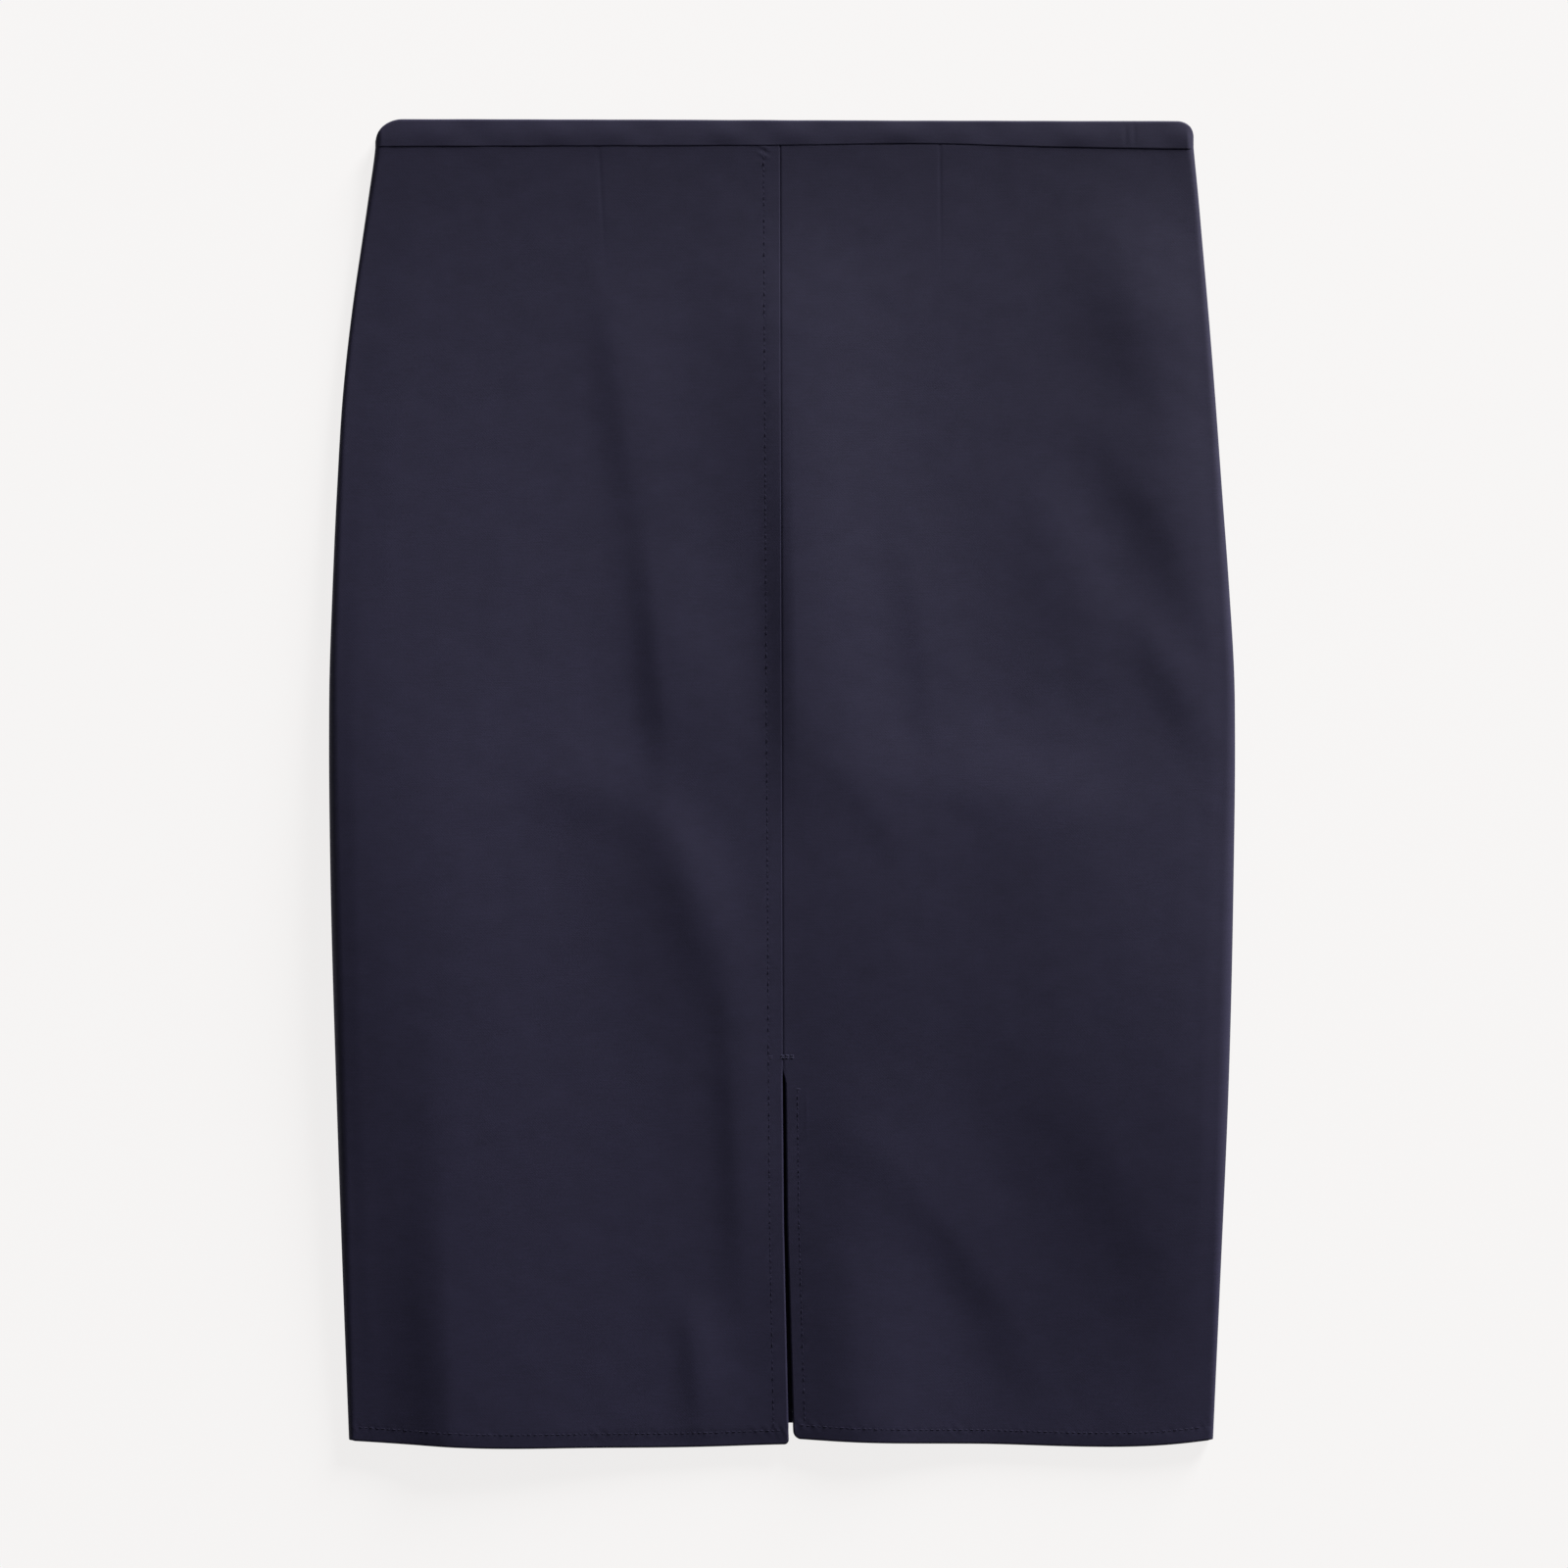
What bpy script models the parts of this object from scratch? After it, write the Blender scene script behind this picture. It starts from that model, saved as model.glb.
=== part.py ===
"""Pencil skirt, laid flat with its seamed side up.

Two shaped panels meet in a centre seam that opens into a hem slit, and lie on one plain panel. A narrow
waistband, one strip for each side, finishes the top. The skirt lies on the plane z = 0, its waist towards +Y.
The side edges are rolled over and end beside the plain panel, so the whole underside is flat.

Metres, +Z up. The origin is the middle of the underside.
"""

from collections import namedtuple

import bmesh
import bpy
import numpy as np

MM = 0.001

# ---------------------------------------------------------------- driving sizes
LENGTH = 0.6232             # top of the waistband to the lowest point of the hem
BAND_HEIGHT = 0.0129        # waistband, at the centre
SEAM_GAP = 0.0003           # between two pieces that are sewn to each other
WALL = 0.0011               # one layer of cloth
TURNED = 0.0016             # cloth turned under: hem, slit edges and seam allowance
TURN_WIDTH = 0.0075         # width of a turned edge
TURN_STEP = 0.0006          # over which the turned edge thins to one layer
REST = 0.0036               # height of the upper cloth where it lies on the lower
WAIST_LIFT = 0.0024         # the waistband holds the upper cloth this much higher
WAIST_LIFT_LENGTH = 0.140   # the cloth sinks back over this length below it
ROLL = REST / 2             # outer radius of the rolled side edge where no fold reaches it
UNDER = 0.005               # the rolled edge lies this far under, up to the side seam
LEAST_UNDER = 0.0005        # and this far at least where a fold lifts the edge
EASE = 0.012                # folds sink over this width before the rolled edge
EDGE_KEEP = 0.93            # and keep this share of their height on it
BODY_SWELL = 0.0004         # the layers inside lift the whole middle a little
BODY_EASE = 0.026
BODY_START = 0.070
HEM_DROP = 0.0003           # the upper hem sinks this far past the end of the plain panel
HEM_DROP_WIDTH = 0.010
LIP = 0.0002                # the seam allowance lifts the left panel along the centre seam
LIP_WIDTH = 0.006
LIP_START = 0.020           # full height of the lip, below the band seam
FOLD_START = 0.090          # the band holds the cloth flat: folds are at full height from here down

BAND_WALL = 0.0016          # the waistband is a folded strip
BAND_REST = REST + WAIST_LIFT       # height of the upper strip
BAND_PUFF = 0.0002          # crown of the strip between its seam and its fold
BAND_SLOPE = 0.0009         # the right end of the waistband is this much lower than the left
CORNER_LEFT = 0.0130        # radius of the waistband's upper corners
CORNER_RIGHT = 0.0080
CORNER_SHARE = 0.97         # how far round its quarter circle each corner goes

SLIT_TOP = 0.428            # start of the slit, below the band seam
SEAM_LEAN_TOP = -0.0012     # centre seam at the waist and at the top of the slit, across
SEAM_LEAN_SLIT = 0.0002
SLIT_BEND = 0.506           # the slit leans more from here down, below the band seam
SLIT_LEFT_AT_BEND = 0.0009  # its two edges there and at the hem, across
SLIT_LEFT_AT_HEM = 0.0032
SLIT_RIGHT_AT_TOP = 0.0017
SLIT_RIGHT_AT_BEND = 0.0026
SLIT_RIGHT_AT_HEM = 0.0057
SLIT_EASE = 0.012           # the seam gap widens into the slit over this length
SLIT_TURN_START = 0.006     # the right panel's edge is turned under from here down, past the slit's top

PLAIN_HEM_RISE = 0.0072     # the plain panel's hem curves up between the side seams
PLAIN_BAND_DROP = 0.0010    # the lower strip stays hidden behind the upper one

TOP_Y = LENGTH / 2
SEAM_Y = TOP_Y - BAND_HEIGHT
SKIRT_FALL = LENGTH - BAND_HEIGHT       # band seam to hem

CLOTH_COLOUR = (0.022, 0.021, 0.038, 1.0)
CLOTH_ROUGHNESS = 0.75

# ---------------------------------------------------------------- tables, in millimetres
# half widths of the flat skirt, from the middle, at distances below the band seam
Width = namedtuple("Width", "below left right")
OUTLINE = (
    Width(-13, 190.0, 192.0),
    Width(0, 191.0, 193.2),
    Width(23, 194.2, 195.5),
    Width(46, 197.6, 197.5),
    Width(69, 201.0, 199.5),
    Width(115, 206.2, 203.2),
    Width(161, 209.0, 206.5),
    Width(207, 211.0, 209.8),
    Width(253, 212.4, 212.3),
    Width(276, 212.5, 212.5),
    Width(345, 211.7, 211.7),
    Width(437, 209.2, 209.5),
    Width(529, 206.2, 205.8),
    Width(612, 203.2, 202.2),
)

# height of the band seam above its nominal line, and depth of the upper hem below that line
Point = namedtuple("Point", "across value")
BAND_SEAM = (
    Point(-213, -0.3),
    Point(-100, 0.1),
    Point(0, 0.4),
    Point(75, 1.1),
    Point(112, 0.0),
    Point(213, -1.7),
)
HEM_LEFT = (
    Point(-213, 606.4),
    Point(-175, 608.5),
    Point(-140, 610.1),
    Point(-90, 610.2),
    Point(-45, 610.1),
    Point(4, 608.7),
)
HEM_RIGHT = (
    Point(4, 606.0),
    Point(30, 607.3),
    Point(90, 608.6),
    Point(185, 608.7),
    Point(213, 605.3),
)

# Soft folds of the upper side. Each is a ridge along a line from its start to its end, bowed sideways by bow.
# Its two flanks have their own widths, on the right hand and on the left hand of someone who walks the line.
# With late over 1 the highest point lies past the middle of the line.
Fold = namedtuple(
    "Fold", "name x_start below_start x_end below_end bow right_flank left_flank height late"
)
FOLDS = (
    # the seam
    Fold("rise along the centre seam", 2, -41, 8, 483, 0, 66, 44, 3.6, 1.4),
    Fold("rise by the darts", 1, -14, 6, 253, 0, 30, 54, 2.3, 1.0),
    Fold("seam edge", 5, 37, 8, 336, 0, 12, 46, 2.7, 1.5),
    Fold("belly", -689, 685, 691, 143, 0, 120, 200, 4.7, 1.0),
    # left panel
    Fold("dart ridge, upper end", -85, 39, -65, 196, 1, 11, 24, 1.1, 1.0),
    Fold("dart ridge, lower end", -70, 115, -48, 327, 1, 11, 28, 1.8, 1.3),
    Fold("hook", -133, 291, -50, 314, 3, 17, 30, 0.84, 0.9),
    Fold("thigh ridge", -88, 274, -21, 478, 20, 36, 26, 1.4, 0.8),
    Fold("thigh ridge, sharp crest", -76, 285, -25, 428, 10, 13, 14, 0.91, 0.8),
    Fold("thigh ridge, lower end", -28, 345, -17, 575, 2, 9, 16, 1.2, 1.1),
    Fold("hem swell", -159, 368, -149, 796, 0, 21, 76, 4.2, 1.1),
    Fold("hip swell", -169, 189, -165, 529, 0, 50, 36, 1.7, 1.0),
    Fold("left side swell", -203, 23, -201, 713, 0, 40, 110, 3.8, 0.85),
    Fold("thigh swell", -142, 41, -139, 547, 0, 110, 50, 2.0, 1.1),
    Fold("hem pleat", -43, 534, -38, 621, 1, 7, 12, 0.91, 0.8),
    # right panel
    Fold("first ray", 46, 106, 78, 313, 2, 11, 24, 0.84, 1.7),
    Fold("second ray", 109, 138, 157, 271, 3, 20, 18, 0.84, 0.9),
    Fold("seat ridge, inner", 1, 291, 167, 311, -8, 140, 34, 2.9, 0.9),
    Fold("seat ridge, outer", 75, 309, 201, 316, -10, 90, 34, 1.9, 0.95),
    Fold("seat pinch", 17, 276, 63, 345, 3, 9, 14, 0.38, 1.0),
    Fold("waist crease", 95, -110, 201, 230, 16, 24, 40, 2.4, 1.1),
    Fold("hip crease", 119, 104, 209, 274, 22, 17, 30, 1.5, 0.95),
    Fold("hip crease, lower end", 183, 189, 215, 271, 3, 12, 20, 0.53, 1.0),
    Fold("hip pinch", 157, 202, 206, 295, 2, 12, 14, 1.1, 1.0),
    Fold("knee ridge", -1, 432, 135, 612, 22, 17, 44, 1.4, 1.1),
    Fold("knee ridge, upper end", -4, 405, 93, 543, 0, 24, 80, 0.38, 0.9),
    Fold("side fold", 86, 359, 219, 575, 4, 38, 160, 2.4, 1.1),
    Fold("side swell", 180, -14, 203, 704, 0, 74, 110, 3.9, 1.35),
    Fold("slit swell", 31, 409, 45, 787, 0, 30, 36, 3.8, 0.9),
)

# ---------------------------------------------------------------- cells of the grids
ACROSS_CELLS = 28           # upper panels, between the turned centre edge and the side
DOWN_CELLS = 36             # upper panels, between the band seam and the turned hem
ROLL_CELLS = 6              # round a rolled edge
PLAIN_ACROSS_CELLS = 12
PLAIN_DOWN_CELLS = 22
BAND_ACROSS_CELLS = 30
BAND_DOWN_CELLS = 3


# ---------------------------------------------------------------- curves and surfaces
def smooth(at, rows, column):
    """Read one column of a table at the places given, along a cubic curve through its rows.

    The first column holds the places. Each row's slope is taken from its two neighbours.
    """
    knots = np.array([row[0] for row in rows], dtype=float) * MM
    values = np.array([getattr(row, column) for row in rows], dtype=float) * MM
    slopes = np.gradient(values, knots)
    k = np.clip(np.searchsorted(knots, at) - 1, 0, len(knots) - 2)
    span = knots[k + 1] - knots[k]
    f = np.clip((at - knots[k]) / span, 0, 1)
    near = values[k] * (1 + 2 * f) * (1 - f) ** 2 + slopes[k] * span * f * (1 - f) ** 2
    far = values[k + 1] * f**2 * (3 - 2 * f) - slopes[k + 1] * span * f**2 * (1 - f)
    return near + far


def side_left(y):
    return -smooth(SEAM_Y - y, OUTLINE, "left")


def side_right(y):
    return smooth(SEAM_Y - y, OUTLINE, "right")


def band_seam_y(x):
    return SEAM_Y + smooth(x, BAND_SEAM, "value")


def centre_left(y):
    """Right edge of the left panel: the centre seam, then the left edge of the slit."""
    places = (0, SLIT_TOP, SLIT_BEND, SKIRT_FALL)
    sizes = (SEAM_LEAN_TOP, SEAM_LEAN_SLIT, SLIT_LEFT_AT_BEND, SLIT_LEFT_AT_HEM)
    return np.interp(SEAM_Y - y, places, sizes)


def centre_right(y):
    """Left edge of the right panel: a seam gap from the left panel, then the right edge of the slit."""
    below = SEAM_Y - y
    sizes = (SLIT_RIGHT_AT_TOP, SLIT_RIGHT_AT_BEND, SLIT_RIGHT_AT_HEM)
    slit = np.interp(below, (SLIT_TOP, SLIT_BEND, SKIRT_FALL), sizes)
    seam = centre_left(y) + SEAM_GAP
    return seam + (slit - seam) * smoothstep((below - SLIT_TOP) / SLIT_EASE)


def smoothstep(f):
    f = np.clip(f, 0, 1)
    return f * f * (3 - 2 * f)


def fold_height(fold, x, below):
    """Height of one ridge: a bell across its line, faded in and out along it."""
    dx = (fold.x_end - fold.x_start) * MM
    dy = (fold.below_end - fold.below_start) * MM
    run = np.hypot(dx, dy)
    from_x = x - fold.x_start * MM
    from_y = below - fold.below_start * MM
    along = np.clip((from_x * dx + from_y * dy) / run**2, 0, 1)
    across = (from_x * dy - from_y * dx) / run - fold.bow * MM * 4 * along * (1 - along)
    width = np.where(across < 0, fold.right_flank, fold.left_flank) * MM
    return fold.height * MM * np.sin(np.pi * along**fold.late) ** 2 * np.exp(-((across / width) ** 2))


def inside(x, y, ease):
    """0 where the side edges begin to roll, 1 from a width of ease further in."""
    return smoothstep((x - side_left(y) - ROLL) / ease) * smoothstep((side_right(y) - ROLL - x) / ease)


def upper_height(x, y):
    """Height of the upper side's outer face over the ground."""
    below = SEAM_Y - y
    relief = sum(fold_height(fold, x, below) for fold in FOLDS)
    relief = relief * (EDGE_KEEP + (1 - EDGE_KEEP) * inside(x, y, EASE)) * smoothstep(below / FOLD_START)
    body = BODY_SWELL * inside(x, y, BODY_EASE) * smoothstep(below / BODY_START)
    waist = WAIST_LIFT * np.clip(1 - below / WAIST_LIFT_LENGTH, 0, 1) ** 3
    past_plain = smoothstep((plain_hem_y(x) - y) / HEM_DROP_WIDTH)
    return REST + relief + body + waist - HEM_DROP * past_plain * inside(x, y, EASE)


def edge_roll(y, outward):
    """Radius on which a side edge turns over: half the height of the cloth there, settled in a few steps."""
    side = side_left(y) if outward < 0 else side_right(y)
    roll = ROLL + 0 * y
    for _ in range(6):
        roll = upper_height(side - outward * roll, y) / 2
    return roll


def plain_hem_y(x):
    """The plain panel's hem: level with the upper hem at the side seams, higher between them."""
    at_side = SEAM_Y - HEM_LEFT[0].value * MM
    return at_side + PLAIN_HEM_RISE * (1 - (x / side_right(at_side)) ** 2)


def turned(distance):
    """1 on a turned edge, 0 on single cloth, for distances from the edge."""
    return 1 - smoothstep((distance - TURN_WIDTH) / TURN_STEP)


# ---------------------------------------------------------------- building blocks
def fresh_scene():
    for obj in list(bpy.data.objects):
        bpy.data.objects.remove(obj)
    skirt = bpy.data.collections.new("pencil_skirt")
    bpy.context.scene.collection.children.link(skirt)
    return skirt


def cloth_material(name):
    material = bpy.data.materials.new(name)
    material.use_nodes = True
    shader = material.node_tree.nodes["Principled BSDF"]
    shader.inputs["Base Color"].default_value = CLOTH_COLOUR
    shader.inputs["Roughness"].default_value = CLOTH_ROUGHNESS
    shader.inputs["Metallic"].default_value = 0.0
    material.diffuse_color = CLOTH_COLOUR
    return material


def sheet(name, collection, columns, rows, place, share, thickest):
    """A wall of cloth: a grid whose points are placed on the outer face, thickened inwards.

    place(column, row) takes whole arrays of the grid's parameters and returns x, y and z. share(column, row)
    is the wall's thickness there as a share of the thickest.
    """
    bm = bmesh.new()
    bmesh.ops.create_grid(bm, x_segments=len(columns) - 1, y_segments=len(rows) - 1, size=0.5)
    mesh = bpy.data.meshes.new(name)
    bm.to_mesh(mesh)
    bm.free()

    flat = np.empty(len(mesh.vertices) * 3)
    mesh.vertices.foreach_get("co", flat)
    flat = flat.reshape(-1, 3)
    column = np.asarray(columns)[np.rint((flat[:, 0] + 0.5) * (len(columns) - 1)).astype(int)]
    row = np.asarray(rows)[np.rint((flat[:, 1] + 0.5) * (len(rows) - 1)).astype(int)]
    placed = np.stack(place(column, row), axis=1)
    mesh.vertices.foreach_set("co", placed.ravel())
    mesh.update()

    obj = bpy.data.objects.new(name, mesh)
    collection.objects.link(obj)
    group = obj.vertex_groups.new(name="wall")
    for index, weight in enumerate(share(column, row)):
        group.add([index], float(weight), "REPLACE")
    solidify = obj.modifiers.new("cloth", "SOLIDIFY")
    solidify.thickness = thickest
    solidify.offset = -1
    solidify.use_even_offset = True
    solidify.vertex_group = group.name
    mesh.materials.append(cloth_material(name))
    mesh.shade_smooth()
    return obj


def steps(cells):
    """Parameters 0 to 1 in equal cells."""
    return np.linspace(0, 1, cells + 1)


def round_edge(past, radius, under):
    """Reach and height of cloth that turns over a side edge.

    past runs from 0 to 1 round a half circle of the radius given, then to 2 along the ground, back under.
    """
    angle = np.pi * np.clip(past, 0, 1)
    reach = radius * np.sin(angle) - under * np.clip(past - 1, 0, 1)
    return reach, radius * (1 + np.cos(angle))


# ---------------------------------------------------------------- the upper panels
def turned_rows(cells, fall):
    """Rows from the band seam (0) to the hem (1), with one row at each side of the step of the turned hem."""
    turn = 1 - np.array([TURN_WIDTH + TURN_STEP, TURN_WIDTH, 0]) / fall
    return np.concatenate([steps(cells)[:-1] * turn[0], turn])


def wall_share(amount):
    """Thickness as a share of a turned edge's: amount 0 is single cloth, 1 is turned cloth."""
    single = WALL / TURNED
    return single + (1 - single) * amount


def upper_panel(name, collection, centre, side, hem):
    """One shaped panel of the upper side, from the centre seam over the side edge to the side seam.

    A column up to 1 is a share of the way from the centre edge to the roll; past 1 it goes round the roll.
    The left panel also carries the seam allowances, so its centre edge is thick and raised all the way up.
    """
    half = float(side(SEAM_Y))
    outward = np.sign(half)
    turn = np.array([0, TURN_WIDTH, TURN_WIDTH + TURN_STEP]) / abs(half)
    across = turn[-1] + (1 - turn[-1]) * steps(ACROSS_CELLS)
    columns = np.concatenate([turn[:-1], across, 1 + steps(ROLL_CELLS)[1:], [3]])
    rows = turned_rows(DOWN_CELLS, SKIRT_FALL)[::-1]
    has_allowance = outward < 0

    def place(column, row):
        way = np.minimum(column, 1)
        x = half * way
        for _ in range(4):          # x and y depend a little on each other and settle at once
            y = (band_seam_y(x) - SEAM_GAP) * (1 - row) + (SEAM_Y - smooth(x, hem, "value")) * row
            roll = edge_roll(y, outward)
            x = centre(y) + (side(y) - outward * roll - centre(y)) * way
        top = upper_height(x, y)
        if has_allowance:
            crest = np.exp(-(((x - centre(y)) / LIP_WIDTH) ** 2))
            top = top + LIP * crest * smoothstep((SEAM_Y - y) / LIP_START)
        reach, height = round_edge(column - 1, roll, np.maximum(UNDER + ROLL - roll, LEAST_UNDER))
        return x + outward * reach, y, np.where(column > 1, height, top)

    def share(column, row):
        y = place(column, row)[1]
        at_centre = turned(np.minimum(column, 1) * abs(half))
        if not has_allowance:
            at_centre = at_centre * smoothstep((SEAM_Y - y - SLIT_TOP) / SLIT_TURN_START)
        at_hem = turned((1 - row) * SKIRT_FALL)
        return wall_share(np.where(column > 1, 0, np.maximum(at_centre, at_hem)))

    if has_allowance:
        columns = columns[::-1]
    return sheet(name, collection, columns, rows, place, share, TURNED)


# ---------------------------------------------------------------- the plain panel
def plain_panel(name, collection):
    """The lower side: one flat panel between the two rolled edges. Its outer face is the plane z = 0."""
    fall = SKIRT_FALL - PLAIN_HEM_RISE
    inset = ROLL + UNDER + SEAM_GAP

    def place(column, row):
        x = (2 * column - 1) * side_right(SEAM_Y)
        for _ in range(3):
            y = (band_seam_y(x) - SEAM_GAP) * (1 - row) + plain_hem_y(x) * row
            left = side_left(y) + inset
            x = left + (side_right(y) - inset - left) * column
        return x, y, np.zeros_like(x)

    def share(column, row):
        return wall_share(turned((1 - row) * fall))

    rows = turned_rows(PLAIN_DOWN_CELLS, fall)
    return sheet(name, collection, steps(PLAIN_ACROSS_CELLS), rows, place, share, TURNED)


# ---------------------------------------------------------------- the waistband
def band_top_y(x):
    """Upper edge of the waistband: a straight fold with a round corner at each end."""
    left, right = side_left(SEAM_Y), side_right(SEAM_Y)
    straight = TOP_Y - BAND_SLOPE * smoothstep((x - left) / (right - left))
    into_left = CORNER_SHARE * np.clip((left + CORNER_LEFT - x) / CORNER_LEFT, 0, 1)
    into_right = CORNER_SHARE * np.clip((x - right + CORNER_RIGHT) / CORNER_RIGHT, 0, 1)
    cut_left = CORNER_LEFT * (1 - np.sqrt(1 - into_left**2))
    cut_right = CORNER_RIGHT * (1 - np.sqrt(1 - into_right**2))
    return straight - cut_left - cut_right


def even_wall(column, row):
    return np.ones_like(row)


def upper_band(name, collection):
    """The strip on the upper side, with both ends rolled over to the lower strip."""
    roll = BAND_REST / 2
    past_end = np.append(steps(ROLL_CELLS)[1:], 2)
    columns = np.concatenate([-past_end[::-1], steps(BAND_ACROSS_CELLS), 1 + past_end])
    rows = steps(BAND_DOWN_CELLS)

    def place(column, row):
        left, right = side_left(SEAM_Y) + roll, side_right(SEAM_Y) - roll
        past = np.maximum(column - 1, -column)
        reach, height = round_edge(past, roll, UNDER)
        x = left + (right - left) * np.clip(column, 0, 1) + np.sign(column - 0.5) * reach
        low = band_seam_y(x)
        y = low + (band_top_y(x) - low) * row
        crown = BAND_PUFF * np.sin(np.pi * row)
        return x, y, np.where(past > 0, height, BAND_REST + crown)

    return sheet(name, collection, columns, rows, place, even_wall, BAND_WALL)


def lower_band(name, collection):
    """The strip on the lower side, flat on the ground between the rolled ends of the upper strip."""
    columns = steps(BAND_ACROSS_CELLS // 2)
    rows = steps(BAND_DOWN_CELLS)[::-1]

    def place(column, row):
        inset = BAND_REST / 2 + UNDER + SEAM_GAP
        left, right = side_left(SEAM_Y) + inset, side_right(SEAM_Y) - inset
        x = left + (right - left) * column
        low = band_seam_y(x)
        y = low + (band_top_y(x) - PLAIN_BAND_DROP - low) * row
        return x, y, np.zeros_like(x)

    return sheet(name, collection, columns, rows, place, even_wall, BAND_WALL)


# ---------------------------------------------------------------- the skirt
def build():
    skirt = fresh_scene()
    upper_panel("seamed_panel_left", skirt, centre_left, side_left, HEM_LEFT)
    upper_panel("seamed_panel_right", skirt, centre_right, side_right, HEM_RIGHT)
    plain_panel("plain_panel", skirt)
    upper_band("waistband_seamed_side", skirt)
    lower_band("waistband_plain_side", skirt)


build()
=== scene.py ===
# %% [markdown]
# # A pencil skirt, laid flat
#
# The skirt lies on a table with its seamed side up. It is a tube of thin woven suiting, pressed almost
# flat: two shaped panels above, joined by a centre seam that opens into a slit, one plain panel below, and
# a narrow waistband. All of its character is in soft, low folds, a few grooves and a few lines of stitches.
#
# Such cloth can be simulated, but a simulation never gives the same folds as a given skirt. Here every fold
# is listed in a table and added up by a formula, so each one can be moved, widened or softened by
# itself.
#
# The construction comes in first, as a fixed frame. It says how large the skirt is and where it lies, and
# each piece that is made below stands for one piece of it.

# %% Load the frame
from collections import namedtuple

import bpy
import numpy as np
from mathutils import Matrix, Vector


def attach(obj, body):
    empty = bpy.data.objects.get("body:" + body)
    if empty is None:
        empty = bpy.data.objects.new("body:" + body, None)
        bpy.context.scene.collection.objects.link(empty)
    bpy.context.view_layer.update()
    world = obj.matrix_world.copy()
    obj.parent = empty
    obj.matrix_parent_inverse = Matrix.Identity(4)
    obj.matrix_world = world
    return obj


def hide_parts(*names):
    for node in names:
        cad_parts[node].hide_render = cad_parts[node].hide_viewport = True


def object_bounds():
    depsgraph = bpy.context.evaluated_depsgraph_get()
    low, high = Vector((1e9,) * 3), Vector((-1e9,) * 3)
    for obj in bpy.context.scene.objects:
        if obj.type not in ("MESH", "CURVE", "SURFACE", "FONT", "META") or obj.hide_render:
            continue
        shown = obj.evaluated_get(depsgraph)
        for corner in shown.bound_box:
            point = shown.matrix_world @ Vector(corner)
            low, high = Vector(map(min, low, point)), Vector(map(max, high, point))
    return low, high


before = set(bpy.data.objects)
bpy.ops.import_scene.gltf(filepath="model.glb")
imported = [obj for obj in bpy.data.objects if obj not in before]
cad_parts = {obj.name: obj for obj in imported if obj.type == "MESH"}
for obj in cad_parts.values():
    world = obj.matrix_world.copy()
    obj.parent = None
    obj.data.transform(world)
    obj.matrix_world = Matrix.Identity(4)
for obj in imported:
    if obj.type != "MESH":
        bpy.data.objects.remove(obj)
cad_low, cad_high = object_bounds()
print("pieces of the frame:", sorted(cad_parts))
print("width, length, height:", [round(high - low, 4) for low, high in zip(cad_low, cad_high)])

# %% [markdown]
# ## The sizes
#
# Lengths are in metres, as everywhere in Blender. The length of the skirt comes from the frame. The other
# sizes are those of the cloth and of the sewing: how thick one layer is, how wide a turned edge, how round
# a fold. `below` is always measured down from the seam of the waistband.

# %% Sizes of the skirt
MM = 0.001
TOP_Y = cad_high.y
BAND_HEIGHT = 12.9 * MM
SEAM_Y = TOP_Y - BAND_HEIGHT
SKIRT_FALL = SEAM_Y - cad_low.y
SLIT_TOP = 428 * MM

CLOTH = 0.8 * MM            # one layer
TURNED = 1.5 * MM           # two layers, at the hem and along the slit
TURN_WIDTH = 6.9 * MM       # an edge is turned under by this much
BAND_WALL = 1.5 * MM        # the waistband is a folded strip
REST = 3.6 * MM             # the upper cloth's outer face lies this high over the table
WAIST_LIFT = 2.4 * MM       # the waistband and what is inside it are thicker, and hold the cloth up
BAND_STEP = 0.18 * MM       # the waistband lies this much higher than the panels sewn into it
BAND_REST = REST + WAIST_LIFT + BAND_STEP
ROLL = REST / 2             # the side edge turns over on this radius
UNDER = 5 * MM              # and lies this far under, up to the side seam
SEAM_GAP = 0.3 * MM
print("from the waistband's seam to the hem:", round(SKIRT_FALL, 4))

# %% [markdown]
# ## The outline
#
# A maker measures a flat skirt with a tape: at some distance below the waistband it is so wide to the left
# of the middle and so wide to the right. The tables hold those measurements in millimetres, and a smooth
# curve runs through them. A straight line between measurements would leave a corner at each of them, so a
# cubic curve is used, whose slope at every measurement is taken from the two beside it.

# %% Measurements of the outline
Width = namedtuple("Width", "below left right")
OUTLINE = (
    Width(-13, 190.0, 192.0),
    Width(0, 191.0, 193.2),
    Width(23, 194.2, 195.5),
    Width(46, 197.6, 197.5),
    Width(69, 201.0, 199.5),
    Width(115, 206.2, 203.2),
    Width(161, 209.0, 206.5),
    Width(207, 211.0, 209.8),
    Width(253, 212.4, 212.3),
    Width(276, 212.5, 212.5),
    Width(345, 211.7, 211.7),
    Width(437, 209.2, 209.5),
    Width(529, 206.2, 205.8),
    Width(612, 203.2, 202.2),
)

Point = namedtuple("Point", "across value")
BAND_SEAM = (
    Point(-213, -0.3),
    Point(-100, 0.1),
    Point(0, 0.4),
    Point(75, 1.1),
    Point(112, 0.0),
    Point(213, -1.7),
)
HEM_LEFT = (
    Point(-213, 606.4),
    Point(-175, 608.5),
    Point(-140, 610.1),
    Point(-90, 610.2),
    Point(-45, 610.1),
    Point(4, 608.7),
)
HEM_RIGHT = (
    Point(4, 606.0),
    Point(30, 607.3),
    Point(90, 608.6),
    Point(185, 608.7),
    Point(213, 605.3),
)


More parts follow.
